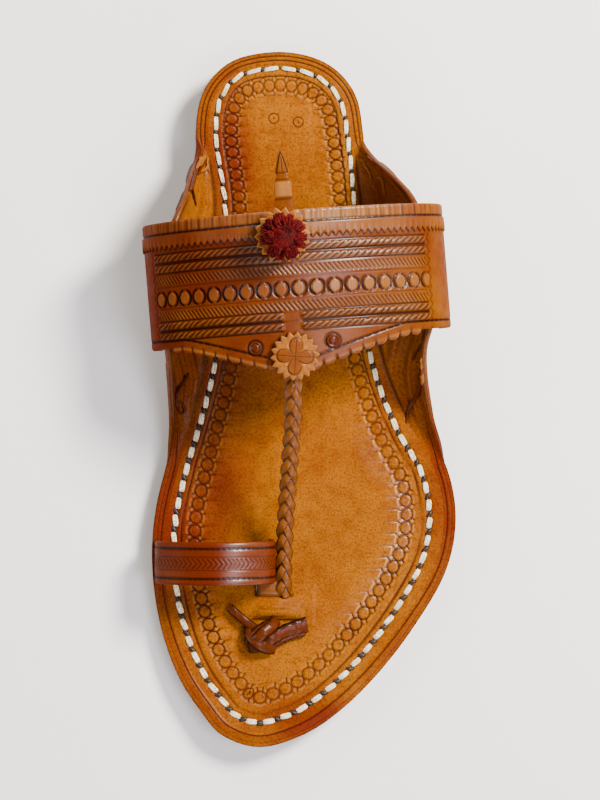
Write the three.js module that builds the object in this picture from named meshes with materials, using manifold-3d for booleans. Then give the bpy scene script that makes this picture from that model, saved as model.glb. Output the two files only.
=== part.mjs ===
// Kolhapuri sandal, left foot. A flat leather sole whose top layer folds up into two ears at the
// waist, a wide instep band outside the ears, a thong down to the toes and a strap over the big toe.
// Millimetres, +Z up, heel towards +Y, toes towards -Y, little-toe (lateral) side towards +X.
// Here a place on the sole is (x, along, z): along is the distance from the back of the heel.
import * as THREE from 'three';
import { mergeVertices } from 'three/addons/utils/BufferGeometryUtils.js';
import Module from 'manifold-3d';

const wasm = await Module();
wasm.setup();

// ---- driving dimensions ------------------------------------------------------------------
const SOLE_LENGTH = 278;
const SOLE_THICKNESS = 5.5;
const HEEL_LIFT = 7;
const HEEL_BREAST = 66;
const BREAST_SLOPE = 0.6;
const WAIST_LEAD = 8;
const FOREFOOT_FLAT_FROM = 150;
const TOE_SPRING_FROM = 226;
const TOE_SPRING = 4;
const FOOTBED_THICKNESS = 2.5;
const FOOTBED_DISH = 0.7;
const RIM = 5;
const GAP = 0.3;

const BAND_HALF_WIDTH = 59.4;
const BAND_WALL = 2.4;
const BAND_WIDEST_Z = 26;
const BAND_SHOULDER = 34;
const BAND_CROWN_SPLIT = THREE.MathUtils.degToRad(45);
const BAND_LEG_TURN = THREE.MathUtils.degToRad(15);
const BAND_LEG = 3;
const BAND_LEAN = 5.5;
const BAND_BACK = -29;
const BAND_FRONT = 20;
const BAND_POINT = 13;
const BAND_FRONT_DROP = 0.2;
const BAND_CORNER = 7;
const BAND_CENTRE = { x: -1.8, along: 95, turn: THREE.MathUtils.degToRad(4.6) };
const SCALLOPS = 20;
const SCALLOP_PITCH = 5.4;
const SCALLOP_DEPTH = 2;

const THONG_WIDTH = 7.2;
const THONG_THICKNESS = 3.6;
const TOE_STRAP_WALL = 2.2;
const TOE_STRAP = { medial: -58.6, lateral: -10.4, from: 195, to: 212, widestZ: 15.4, shoulder: 11 };
const TOE_STRAP_SPLIT = THREE.MathUtils.degToRad(50);

const LEAF_THICKNESS = 1.6;
const ROSETTE_TEETH = 18;
const ROSETTE_TOOTH = 1.7;
const ROSETTE_THICKNESS = 1.5;
const FRONT_ROSETTE = { distance: 0, v: 26.5, radius: 9.6 };
const BACK_ROSETTE = { distance: -1.5, v: -20, radius: 10.8 };
const POMPOM_RADIUS = 9.3;
const POMPOM_HEIGHT = 11.4;

// The slits through the footbed near the toes, and the leather pushed up between them.
const SLITS = [
  { name: 'thong', x0: -10.9, x1: -3.1, from: 212.2, to: 220.4 },
  { name: 'knot', x0: -17.8, x1: 2.3, from: 226.2, to: 227.8 },
];
const SLIT_TOP = 30;
const BRIDGE = { x: -10, along: 221.2, halfX: 9, halfAlong: 3.4, height: 1.7 };

// The toe knot: a lumpy body and three flat tails. Heights are above the footbed in front of the bridge.
const KNOT_BODY = { x: -15.3, along: 233.2, z: 3.9, halfX: 7.2, halfAlong: 6.6, halfZ: 3.8 };
const KNOT_TAILS = [
  { from: [-13, 231, 2.6], to: [2, 230, 2.2], widthFrom: 8, widthTo: 7, thickness: 3.4 },
  { from: [-18, 231, 3.4], to: [-29, 222, 3], widthFrom: 5, widthTo: 3, thickness: 2.6 },
  { from: [-14, 234, 2.6], to: [-12, 240.4, 2], widthFrom: 7, widthTo: 5, thickness: 3 },
];

// The sole's outline: one row for each section across it.
const SOLE_SECTIONS = [
  { along: 0, medial: -8, lateral: -8 },
  { along: 3, medial: -26, lateral: 7 },
  { along: 9, medial: -34.4, lateral: 16 },
  { along: 18, medial: -40, lateral: 22 },
  { along: 33, medial: -42.1, lateral: 24.8 },
  { along: 62, medial: -38.6, lateral: 27.6 },
  { along: 95, medial: -39.4, lateral: 31 },
  { along: 124, medial: -42.3, lateral: 37.4 },
  { along: 146, medial: -48, lateral: 47.2 },
  { along: 165, medial: -53.8, lateral: 58.6 },
  { along: 186, medial: -58.6, lateral: 62.7 },
  { along: 207, medial: -59.5, lateral: 59 },
  { along: 230, medial: -56.1, lateral: 46 },
  { along: 250, medial: -49, lateral: 30.3 },
  { along: 264, medial: -40, lateral: 15.5 },
  { along: 273, medial: -32, lateral: 1.5 },
  { along: 278, medial: -17, lateral: -17 },
];

// The ears' upper edge: height above the fold and reach outside the sole's edge.
const EAR_SECTIONS = [
  { along: 34, medialHeight: 0, medialReach: 0, lateralHeight: 0, lateralReach: 0 },
  { along: 42, medialHeight: 6, medialReach: 1.4, lateralHeight: 9, lateralReach: 2.6 },
  { along: 50, medialHeight: 17, medialReach: 5.6, lateralHeight: 21, lateralReach: 8.4 },
  { along: 60, medialHeight: 26, medialReach: 9.8, lateralHeight: 30, lateralReach: 14.8 },
  { along: 70, medialHeight: 31, medialReach: 14, lateralHeight: 33, lateralReach: 18 },
  { along: 95, medialHeight: 33, medialReach: 21, lateralHeight: 34, lateralReach: 25 },
  { along: 115, medialHeight: 29, medialReach: 15.5, lateralHeight: 28, lateralReach: 16 },
  { along: 122, medialHeight: 25, medialReach: 13, lateralHeight: 24, lateralReach: 12.8 },
  { along: 134, medialHeight: 16, medialReach: 9.6, lateralHeight: 16, lateralReach: 9.6 },
  { along: 146, medialHeight: 8, medialReach: 5.2, lateralHeight: 9, lateralReach: 6.2 },
  { along: 156, medialHeight: 3, medialReach: 2.2, lateralHeight: 4, lateralReach: 3 },
  { along: 166, medialHeight: 0, medialReach: 0, lateralHeight: 0, lateralReach: 0 },
];

// The thong's middle line, from under the band's point down into its slot.
const THONG_ROUTE = [
  { along: 117, x: -5.4, z: 59.6 },
  { along: 126, x: -5.4, z: 57.8 },
  { along: 134, x: -5.2, z: 54 },
  { along: 146, x: -5.1, z: 46.6 },
  { along: 160, x: -5.5, z: 37.4 },
  { along: 174, x: -6.1, z: 28.6 },
  { along: 188, x: -6.7, z: 21 },
  { along: 200, x: -7, z: 15.6 },
  { along: 209, x: -7, z: 12 },
  { along: 214.6, x: -7, z: 10 },
  { along: 217.6, x: -7, z: 8.3 },
];

// The leaf: its root lies on the band under the back rosette, its blade points to the heel behind the band.
// v is the place along the band's own axis.
const LEAF_SECTIONS = [
  { v: -13, width: 6.4, rise: 0 },
  { v: -20, width: 7, rise: 0 },
  { v: -29, width: 7, rise: 0.1 },
  { v: -33.5, width: 6.7, rise: 0.6 },
  { v: -39, width: 6.3, rise: 1.1 },
  { v: -42, width: 4.4, rise: 1.3 },
  { v: -43.4, width: 5, rise: 1.4 },
  { v: -49, width: 2.6, rise: 1.4 },
  { v: -52, width: 0.8, rise: 1.2 },
];

// ---- small tools -------------------------------------------------------------------------
const place = (x, along, z) => new THREE.Vector3(x, SOLE_LENGTH / 2 - along, z);

function smoothTable(rows, key, name, at) {
  // A Catmull-Rom curve through one column of a table, held level beyond its ends.
  const last = rows.length - 1;
  if (at <= rows[0][key]) return rows[0][name];
  if (at >= rows[last][key]) return rows[last][name];
  const i = rows.findIndex((row) => row[key] > at) - 1;
  const slope = (j) => {
    if (j <= 0 || j >= last) return 0;
    return (rows[j + 1][name] - rows[j - 1][name]) / (rows[j + 1][key] - rows[j - 1][key]);
  };
  const span = rows[i + 1][key] - rows[i][key];
  const f = (at - rows[i][key]) / span;
  const rise = f * f * (3 - 2 * f);
  const start = rows[i][name] * (1 - rise) + rows[i + 1][name] * rise;
  return start + span * (f * (1 - f) ** 2 * slope(i) - f * f * (1 - f) * slope(i + 1));
}

function meshGeometry(positions, triangles) {
  const geometry = new THREE.BufferGeometry();
  const numbers = positions.flatMap((point) => [point.x, point.y, point.z]);
  geometry.setAttribute('position', new THREE.Float32BufferAttribute(numbers, 3));
  geometry.setIndex(triangles.flat());
  if (signedVolume(geometry) < 0) geometry.setIndex(triangles.flatMap(([a, b, c]) => [a, c, b]));
  geometry.computeVertexNormals();
  return geometry;
}

function signedVolume(geometry) {
  const [a, b, c] = [new THREE.Vector3(), new THREE.Vector3(), new THREE.Vector3()];
  const { position } = geometry.attributes;
  const index = geometry.index.array;
  let sum = 0;
  for (let i = 0; i < index.length; i += 3) {
    a.fromBufferAttribute(position, index[i]);
    b.fromBufferAttribute(position, index[i + 1]);
    c.fromBufferAttribute(position, index[i + 2]);
    sum += a.dot(b.cross(c)) / 6;
  }
  return sum;
}

function sheetSolid(faceRows, backRows) {
  // A closed wall between two grids of points that have the same rows and columns.
  const rows = faceRows.length;
  const columns = faceRows[0].length;
  const backStart = rows * columns;
  const triangles = [];
  const quad = (a, b, c, d) => triangles.push([a, b, c], [a, c, d]);
  const face = (r, c) => r * columns + c;
  const back = (r, c) => backStart + face(r, c);
  for (let r = 0; r < rows - 1; r += 1) {
    for (let c = 0; c < columns - 1; c += 1) {
      quad(face(r, c), face(r, c + 1), face(r + 1, c + 1), face(r + 1, c));
      quad(back(r, c), back(r + 1, c), back(r + 1, c + 1), back(r, c + 1));
    }
    quad(face(r, 0), face(r + 1, 0), back(r + 1, 0), back(r, 0));
    quad(face(r + 1, columns - 1), face(r, columns - 1), back(r, columns - 1), back(r + 1, columns - 1));
  }
  for (let c = 0; c < columns - 1; c += 1) {
    quad(face(0, c + 1), face(0, c), back(0, c), back(0, c + 1));
    quad(face(rows - 1, c), face(rows - 1, c + 1), back(rows - 1, c + 1), back(rows - 1, c));
  }
  return meshGeometry([...faceRows.flat(), ...backRows.flat()], triangles);
}

function ringSolid(rings) {
  // A closed solid through rings of equal count, with flat ends.
  const count = rings[0].length;
  const triangles = [];
  for (let r = 0; r < rings.length - 1; r += 1) {
    for (let c = 0; c < count; c += 1) {
      const next = (c + 1) % count;
      const [a, b] = [r * count + c, r * count + next];
      triangles.push([a, b, b + count], [a, b + count, a + count]);
    }
  }
  const end = (rings.length - 1) * count;
  for (let c = 1; c < count - 1; c += 1) {
    triangles.push([0, c + 1, c], [end, end + c, end + c + 1]);
  }
  return meshGeometry(rings.flat(), triangles);
}

function toSolid(geometry) {
  const bare = geometry.clone();
  bare.deleteAttribute('normal');
  bare.deleteAttribute('uv');
  const merged = mergeVertices(bare, 1e-4);
  return new wasm.Manifold(new wasm.Mesh({
    numProp: 3,
    vertProperties: new Float32Array(merged.attributes.position.array),
    triVerts: new Uint32Array(merged.index.array),
  }));
}

function toGeometry(solid) {
  const { vertProperties, triVerts } = solid.getMesh();
  const geometry = new THREE.BufferGeometry();
  geometry.setAttribute('position', new THREE.Float32BufferAttribute(vertProperties, 3));
  geometry.setIndex(new THREE.Uint32BufferAttribute(triVerts, 1));
  geometry.computeVertexNormals();
  return geometry;
}

function boxBetween(x0, x1, along0, along1, z0, z1) {
  const geometry = new THREE.BoxGeometry(x1 - x0, along1 - along0, z1 - z0);
  const centre = place((x0 + x1) / 2, (along0 + along1) / 2, (z0 + z1) / 2);
  return toSolid(geometry.translate(centre.x, centre.y, centre.z));
}

function ellipsoid(centre, halfX, halfY, halfZ, rows) {
  const geometry = new THREE.SphereGeometry(1, 2 * rows, rows);
  return geometry.scale(halfX, halfY, halfZ).translate(centre.x, centre.y, centre.z);
}

// ---- the sole's outline and profile ------------------------------------------------------
const OUTLINE_STEPS = 16;
const END_INSET = 0.2;

function outlineChains() {
  const middle = SOLE_SECTIONS.slice(1, -1);
  const heel = SOLE_SECTIONS[0];
  const toe = SOLE_SECTIONS[SOLE_SECTIONS.length - 1];
  const points = [
    new THREE.Vector3(heel.medial, heel.along, 0),
    ...middle.map((row) => new THREE.Vector3(row.medial, row.along, 0)),
    new THREE.Vector3(toe.medial, toe.along, 0),
    ...middle.toReversed().map((row) => new THREE.Vector3(row.lateral, row.along, 0)),
  ];
  const samples = new THREE.CatmullRomCurve3(points, true).getPoints(OUTLINE_STEPS * points.length);
  const toeIndex = OUTLINE_STEPS * (SOLE_SECTIONS.length - 1);
  return { medial: samples.slice(0, toeIndex + 1), lateral: samples.slice(toeIndex).reverse() };
}

const OUTLINE = outlineChains();

function edgeAt(side, along) {
  const chain = OUTLINE[side];
  const inside = THREE.MathUtils.clamp(along, END_INSET, SOLE_LENGTH - END_INSET);
  const i = Math.max(1, chain.findIndex((point) => point.y >= inside));
  const f = (inside - chain[i - 1].y) / (chain[i].y - chain[i - 1].y);
  return THREE.MathUtils.lerp(chain[i - 1].x, chain[i].x, f);
}

function sheetBottom(along) {
  // Underside of the sole leather itself: lifted at the heel, flat under the ball, sprung at the toe.
  const waist = THREE.MathUtils.smoothstep(along, HEEL_BREAST - WAIST_LEAD, FOREFOOT_FLAT_FROM);
  const toe = Math.max(0, (along - TOE_SPRING_FROM) / (SOLE_LENGTH - TOE_SPRING_FROM));
  return HEEL_LIFT * (1 - waist) + TOE_SPRING * toe * toe;
}

const soleTop = (along) => sheetBottom(along) + SOLE_THICKNESS;
const footbedUnder = (along) => soleTop(along) + GAP;
const footbedTop = (along) => footbedUnder(along) + FOOTBED_THICKNESS;

function stations(step) {
  // Sections closer together round the heel and the toe, and two at the heel's breast.
  const HEEL_ROUND = 34;
  const TOE_ROUND = 36;
  const END_STEPS = 9;
  const list = [];
  for (let i = 0; i < END_STEPS; i += 1) {
    list.push(HEEL_ROUND * (1 - Math.cos((i / END_STEPS) * Math.PI / 2)));
  }
  const middle = SOLE_LENGTH - HEEL_ROUND - TOE_ROUND;
  const count = Math.round(middle / step);
  for (let i = 0; i <= count; i += 1) list.push(HEEL_ROUND + (middle * i) / count);
  for (let i = END_STEPS - 1; i >= 0; i -= 1) {
    list.push(SOLE_LENGTH - TOE_ROUND * (1 - Math.cos((i / END_STEPS) * Math.PI / 2)));
  }
  list.push(HEEL_BREAST, HEEL_BREAST + BREAST_SLOPE);
  return list.sort((a, b) => a - b);
}

const STATIONS = stations(6);

// ---- the instep band's arch --------------------------------------------------------------
function arch(half, shoulder, split, widestZ) {
  // Crown arc, two shoulder arcs and short legs, by distance along the outer face from the crown.
  const crown = (half - shoulder) / Math.sin(split) + shoulder;
  const crownHalf = crown * split;
  const centreZ = widestZ - (crown - shoulder) * Math.cos(split);
  return (distance, turnPast) => {
    const side = distance < 0 ? -1 : 1;
    const d = Math.abs(distance);
    if (d <= crownHalf) {
      const angle = d / crown;
      return { u: side * crown * Math.sin(angle), z: centreZ + crown * Math.cos(angle) };
    }
    const angle = Math.min(split + (d - crownHalf) / shoulder, Math.PI / 2 + turnPast);
    const leg = Math.max(0, d - crownHalf - shoulder * (Math.PI / 2 + turnPast - split));
    const shoulderU = (crown - shoulder) * Math.sin(split) + shoulder * Math.sin(angle);
    const shoulderZ = widestZ + shoulder * Math.cos(angle);
    return { u: side * (shoulderU - leg * Math.sin(turnPast)), z: shoulderZ - leg * Math.cos(turnPast) };
  };
}

function archHalfLength(half, shoulder, split, turnPast, leg) {
  const crown = (half - shoulder) / Math.sin(split) + shoulder;
  return crown * split + shoulder * (Math.PI / 2 + turnPast - split) + leg;
}

const bandArch = arch(BAND_HALF_WIDTH, BAND_SHOULDER, BAND_CROWN_SPLIT, BAND_WIDEST_Z);
const BAND_HALF_LENGTH = archHalfLength(
  BAND_HALF_WIDTH,
  BAND_SHOULDER,
  BAND_CROWN_SPLIT,
  BAND_LEG_TURN,
  BAND_LEG,
);
const BAND_RISE = bandArch(0, 0).z - BAND_WIDEST_Z;

function bandOuter(distance, v) {
  // The arch leans to the big-toe side and gets lower towards the toes.
  const point = bandArch(distance, BAND_LEG_TURN);
  const raised = Math.max(0, point.z - BAND_WIDEST_Z);
  const drop = (BAND_FRONT_DROP * (v - BAND_BACK)) / (BAND_FRONT + BAND_POINT - BAND_BACK);
  return { u: point.u - (BAND_LEAN * raised) / BAND_RISE, z: point.z - raised * drop };
}

function bandFace(distance, v, depth) {
  // A point `depth` below the band's outer face, in the band's cross-section.
  const step = 0.5;
  const [before, after] = [bandOuter(distance - step, v), bandOuter(distance + step, v)];
  const length = Math.hypot(after.u - before.u, after.z - before.z);
  const normal = { u: -(after.z - before.z) / length, z: (after.u - before.u) / length };
  const outer = bandOuter(distance, v);
  return { u: outer.u - depth * normal.u, z: outer.z - depth * normal.z };
}

function bandPlace(u, v, z) {
  const { x, along, turn } = BAND_CENTRE;
  const [c, s] = [Math.cos(turn), Math.sin(turn)];
  return place(x + u * c + v * s, along - u * s + v * c, z);
}

function bandPoint(distance, v, depth) {
  const { u, z } = bandFace(distance, v, depth);
  return bandPlace(u, v, z);
}

function bandInnerLimit(sign, z, along) {
  // How far out a leaf of leather inside the band may reach at this height, measured as x.
  const { x, along: centre, turn } = BAND_CENTRE;
  const v = (along - centre) / Math.cos(turn);
  const BEFORE = 4;
  const AFTER = 8;
  if (v < BAND_BACK - BEFORE || v > BAND_FRONT + AFTER) return Infinity;
  const STEPS = 240;
  const SEARCHED = 0.75;
  const CLEARANCE = BAND_WALL + GAP + 0.2;
  let nearest = { gap: Infinity, u: 0 };
  for (let i = 0; i <= STEPS; i += 1) {
    const face = bandFace(sign * BAND_HALF_LENGTH * (1 - (SEARCHED * i) / STEPS), v, CLEARANCE);
    const gap = Math.abs(face.z - z);
    if (gap < nearest.gap) nearest = { gap, u: face.u };
  }
  return sign * (x + nearest.u / Math.cos(turn) + (along - centre) * Math.tan(turn));
}

function bandFrontEdge(distance) {
  // The front edge runs out to a point in the middle.
  const POINT_WIDTH = 0.8;
  const POINT_SHARPNESS = 1.2;
  const q = Math.abs(distance) / BAND_HALF_WIDTH;
  return BAND_FRONT + BAND_POINT * Math.max(0, 1 - q / POINT_WIDTH) ** POINT_SHARPNESS;
}

function bandBackEdge(distance) {
  // Straight, with its two lower corners rounded.
  const fromEnd = BAND_HALF_LENGTH - Math.abs(distance);
  if (fromEnd >= BAND_CORNER) return BAND_BACK;
  const reach = BAND_CORNER - fromEnd;
  return BAND_BACK + BAND_CORNER - Math.sqrt(BAND_CORNER ** 2 - reach ** 2);
}

// ---- solids ------------------------------------------------------------------------------
function outsole() {
  const span = (along, z) => ['medial', 'lateral'].map((side) => place(edgeAt(side, along), along, z));
  const top = STATIONS.map((along) => span(along, soleTop(along)));
  const under = STATIONS.map((along) => span(along, along <= HEEL_BREAST ? 0 : sheetBottom(along)));
  return sheetSolid(top, under);
}

function earProfile(side, along, columns) {
  // Under and outer face from the fold to the ear's upper edge; a flat rim where there is no ear.
  const sign = side === 'medial' ? -1 : 1;
  const height = Math.max(0, smoothTable(EAR_SECTIONS, 'along', `${side}Height`, along));
  const reach = Math.max(0, smoothTable(EAR_SECTIONS, 'along', `${side}Reach`, along));
  const edge = sign * edgeAt(side, along);
  const width = edgeAt('lateral', along) - edgeAt('medial', along);
  const rim = Math.min(RIM, 0.3 * width);
  const z = footbedUnder(along);
  const turned = THREE.MathUtils.smoothstep(height, 0, 8);
  const flat = [[0, 0], [rim / 3, 0], [(2 * rim) / 3, 0]];
  const bent = [[0, 0], [rim + 0.3 * reach, 0.02 * height], [rim + 0.78 * reach, 0.45 * height]];
  const controls = flat.map(([fx, fz], i) => [
    THREE.MathUtils.lerp(fx, bent[i][0], turned),
    THREE.MathUtils.lerp(fz, bent[i][1], turned),
  ]);
  controls.push([rim + reach, height]);
  const points = [];
  for (let i = 0; i <= columns; i += 1) {
    const f = i / columns;
    const weights = [(1 - f) ** 3, 3 * f * (1 - f) ** 2, 3 * f * f * (1 - f), f ** 3];
    const out = weights.reduce((sum, w, j) => sum + w * controls[j][0], 0);
    const up = weights.reduce((sum, w, j) => sum + w * controls[j][1], 0);
    const free = edge - rim + out;
    const limit = up > 4 ? bandInnerLimit(sign, z + up, along) : Infinity;
    points.push({ x: sign * Math.min(free, limit), z: z + up });
  }
  return points;
}

function footbedSection(along) {
  const EAR_COLUMNS = 6;
  const FLAT_COLUMNS = 6;
  const medial = earProfile('medial', along, EAR_COLUMNS).reverse();
  const lateral = earProfile('lateral', along, EAR_COLUMNS);
  const [from, to] = [medial[EAR_COLUMNS], lateral[0]];
  const flat = [];
  for (let i = 1; i < FLAT_COLUMNS; i += 1) {
    flat.push({ x: THREE.MathUtils.lerp(from.x, to.x, i / FLAT_COLUMNS), z: from.z });
  }
  return [...medial, ...flat, ...lateral];
}

function footbedWithEars() {
  const tops = [];
  const unders = [];
  STATIONS.forEach((along) => {
    const section = footbedSection(along);
    const half = (edgeAt('lateral', along) - edgeAt('medial', along)) / 2;
    const middle = (edgeAt('lateral', along) + edgeAt('medial', along)) / 2;
    const top = section.map((point, i) => {
      const before = section[Math.max(0, i - 1)];
      const after = section[Math.min(section.length - 1, i + 1)];
      const length = Math.hypot(after.x - before.x, after.z - before.z);
      const normal = { x: -(after.z - before.z) / length, z: (after.x - before.x) / length };
      const q = Math.min(1, Math.abs(point.x - middle) / Math.max(1, half - RIM));
      const thickness = FOOTBED_THICKNESS - FOOTBED_DISH * (1 - q * q) * Math.min(1, half / 30);
      return place(point.x + thickness * normal.x, along, point.z + thickness * normal.z);
    });
    tops.push(top);
    unders.push(section.map((point) => place(point.x, along, point.z)));
  });
  const { x, along, halfX, halfAlong, height } = BRIDGE;
  const BRIDGE_ROWS = 6;
  const bridge = ellipsoid(place(x, along, footbedTop(along)), halfX, halfAlong, height, BRIDGE_ROWS);
  const { medial, lateral, from, to } = TOE_STRAP;
  const wall = TOE_STRAP_WALL + GAP;
  const OUTSIDE = 3;
  const legSlots = [
    { x0: medial - OUTSIDE, x1: medial + wall, from: from - GAP, to: to + GAP },
    { x0: lateral - wall, x1: lateral + GAP, from: from - GAP, to: to + GAP },
  ];
  const whole = toSolid(sheetSolid(tops, unders)).add(toSolid(bridge));
  const slotted = [...legSlots, ...SLITS].reduce(
    (solid, slot) => solid.subtract(boxBetween(slot.x0, slot.x1, slot.from, slot.to, 0, SLIT_TOP)),
    whole,
  );
  return toGeometry(slotted);
}

function bandColumns() {
  // Places along the band and how far the front edge's scallop reaches there; the two ends are plain.
  const COLUMNS_PER_SCALLOP = 4;
  const PLAIN_COLUMNS = 8;
  const LEAST_LOBE = 0.12;
  const scalloped = (SCALLOPS / 2) * SCALLOP_PITCH;
  const columns = [];
  for (let c = 0; c <= SCALLOPS * COLUMNS_PER_SCALLOP; c += 1) {
    const distance = (c / COLUMNS_PER_SCALLOP) * SCALLOP_PITCH - scalloped;
    const f = (c % COLUMNS_PER_SCALLOP) / COLUMNS_PER_SCALLOP;
    columns.push({ distance, lobe: Math.max(LEAST_LOBE, Math.sqrt(1 - (2 * f - 1) ** 2)) });
  }
  for (let c = 1; c <= PLAIN_COLUMNS; c += 1) {
    const distance = THREE.MathUtils.lerp(scalloped, BAND_HALF_LENGTH, c / PLAIN_COLUMNS);
    columns.push({ distance, lobe: LEAST_LOBE });
    columns.unshift({ distance: -distance, lobe: LEAST_LOBE });
  }
  return columns;
}

function instepBand() {
  const ROWS = [0, 0.35, 0.7, 1];
  const grid = ROWS.map((row) => bandColumns().map(({ distance }) => ({
    distance,
    v: THREE.MathUtils.lerp(bandBackEdge(distance), bandFrontEdge(distance), row),
  })));
  grid.push(bandColumns().map(({ distance, lobe }) => ({
    distance,
    v: bandFrontEdge(distance) + SCALLOP_DEPTH * lobe,
  })));
  const layer = (depth) => grid.map((row) => row.map(({ distance, v }) => bandPoint(distance, v, depth)));
  return sheetSolid(layer(0), layer(BAND_WALL));
}

function thong() {
  const curve = new THREE.CatmullRomCurve3(THONG_ROUTE.map(({ x, along, z }) => place(x, along, z)));
  const STEPS = 28;
  const [w, t, bevel] = [THONG_WIDTH / 2, THONG_THICKNESS / 2, 1];
  const outline = [
    [-w, -t + bevel], [-w + bevel, -t], [w - bevel, -t], [w, -t + bevel],
    [w, t - bevel], [w - bevel, t], [-w + bevel, t], [-w, t - bevel],
  ];
  const rings = [];
  for (let i = 0; i <= STEPS; i += 1) {
    const point = curve.getPoint(i / STEPS);
    const tangent = curve.getTangent(i / STEPS);
    const sideways = new THREE.Vector3(1, 0, 0);
    const up = new THREE.Vector3().crossVectors(sideways, tangent).normalize().negate();
    rings.push(outline.map(([a, b]) => point.clone().addScaledVector(sideways, a).addScaledVector(up, b)));
  }
  return ringSolid(rings);
}

function toeStrap() {
  const { medial, lateral, from, to, widestZ, shoulder } = TOE_STRAP;
  const half = (lateral - medial) / 2;
  const middle = (lateral + medial) / 2;
  const loop = arch(half, shoulder, TOE_STRAP_SPLIT, widestZ);
  const bottom = soleTop((from + to) / 2) + GAP;
  const halfLength = archHalfLength(half, shoulder, TOE_STRAP_SPLIT, 0, widestZ - bottom);
  const STEPS = 30;
  const STEP = 0.5;
  const rings = [];
  for (let i = 0; i <= STEPS; i += 1) {
    const distance = halfLength * ((2 * i) / STEPS - 1);
    const [before, after] = [loop(distance - STEP, 0), loop(distance + STEP, 0)];
    const length = Math.hypot(after.u - before.u, after.z - before.z);
    const [nu, nz] = [-(after.z - before.z) / length, (after.u - before.u) / length];
    const { u, z } = loop(distance, 0);
    rings.push([
      place(middle + u, from, z),
      place(middle + u, to, z),
      place(middle + u - TOE_STRAP_WALL * nu, to, z - TOE_STRAP_WALL * nz),
      place(middle + u - TOE_STRAP_WALL * nu, from, z - TOE_STRAP_WALL * nz),
    ]);
  }
  return ringSolid(rings);
}

function upper() {
  const joined = toSolid(instepBand()).add(toSolid(thong())).add(toSolid(toeStrap()));
  return toGeometry(joined);
}

function leafTab() {
  const rings = LEAF_SECTIONS.map(({ v, width, rise }) => {
    const base = bandFace(0, Math.max(v, BAND_BACK), 0);
    const lift = base.z + GAP + rise;
    return [[-1, 0], [1, 0], [1, 1], [-1, 1]].map(([across, up]) => (
      bandPlace(base.u + (across * width) / 2, v, lift + up * LEAF_THICKNESS)
    ));
  });
  return ringSolid(rings);
}

function bandSeat(distance, v, height) {
  // Position and turn for a flat piece that lies on the band: its own z along the band's normal.
  const step = 1;
  const right = bandPoint(distance + step, v, 0).sub(bandPoint(distance - step, v, 0)).normalize();
  const along = bandPoint(distance, v - step, 0).sub(bandPoint(distance, v + step, 0)).normalize();
  const normal = new THREE.Vector3().crossVectors(right, along).normalize();
  const back = new THREE.Vector3().crossVectors(normal, right);
  const matrix = new THREE.Matrix4().makeBasis(right, back, normal);
  matrix.setPosition(bandPoint(distance, v, 0).addScaledVector(normal, height));
  return matrix;
}

function rosette({ distance, v, radius: outer }, height) {
  const shape = new THREE.Shape();
  for (let i = 0; i < 2 * ROSETTE_TEETH; i += 1) {
    const angle = (Math.PI * i) / ROSETTE_TEETH;
    const radius = outer - (i % 2) * ROSETTE_TOOTH;
    const [x, y] = [radius * Math.cos(angle), radius * Math.sin(angle)];
    if (i === 0) shape.moveTo(x, y);
    else shape.lineTo(x, y);
  }
  const flat = new THREE.ExtrudeGeometry(shape, { depth: ROSETTE_THICKNESS, bevelEnabled: false });
  return flat.applyMatrix4(bandSeat(distance, v, height));
}

function pompom({ distance, v }) {
  const LUMP = 0.5;
  const DETAIL = 5;
  const sphere = new THREE.IcosahedronGeometry(1, DETAIL).deleteAttribute('normal').deleteAttribute('uv');
  const ball = mergeVertices(sphere);
  const { position } = ball.attributes;
  const point = new THREE.Vector3();
  for (let i = 0; i < position.count; i += 1) {
    point.fromBufferAttribute(position, i);
    const lump = Math.sin(7 * point.x + 2 * point.z) * Math.sin(6 * point.y - 1) * Math.cos(5 * point.z);
    point.multiply(new THREE.Vector3(POMPOM_RADIUS, POMPOM_RADIUS, POMPOM_HEIGHT / 2));
    point.multiplyScalar(1 + (LUMP * lump) / POMPOM_RADIUS);
    position.setXYZ(i, point.x, point.y, point.z);
  }
  const base = 3 * GAP + LEAF_THICKNESS + ROSETTE_THICKNESS;
  return ball.applyMatrix4(bandSeat(distance, v, base + POMPOM_HEIGHT / 2));
}

function taperedTail({ from, to, widthFrom, widthTo, thickness }, floor) {
  const lift = new THREE.Vector3(0, 0, floor);
  const [start, end] = [place(...from).add(lift), place(...to).add(lift)];
  const run = end.clone().sub(start).normalize();
  const across = new THREE.Vector3().crossVectors(new THREE.Vector3(0, 0, 1), run).normalize();
  const STEPS = 4;
  const rings = [];
  for (let i = 0; i <= STEPS; i += 1) {
    const width = THREE.MathUtils.lerp(widthFrom, widthTo, i / STEPS);
    const middle = start.clone().lerp(end, i / STEPS);
    const up = new THREE.Vector3(0, 0, thickness / 2);
    rings.push([[-1, -1], [1, -1], [1, 1], [-1, 1]].map(([a, b]) => (
      middle.clone().addScaledVector(across, (a * width) / 2).addScaledVector(up, b)
    )));
  }
  return ringSolid(rings);
}

function toeKnot() {
  const BODY_ROWS = 8;
  const floor = footbedTop(BRIDGE.along) - FOOTBED_DISH + 2 * GAP;
  const { x, along, z, halfX, halfAlong, halfZ } = KNOT_BODY;
  const body = toSolid(ellipsoid(place(x, along, floor + z), halfX, halfAlong, halfZ, BODY_ROWS));
  return toGeometry(KNOT_TAILS.reduce((solid, tail) => solid.add(toSolid(taperedTail(tail, floor))), body));
}

// ---- the scene graph ---------------------------------------------------------------------
const leather = (color, roughness) => new THREE.MeshStandardMaterial({ color, roughness, metalness: 0 });

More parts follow.
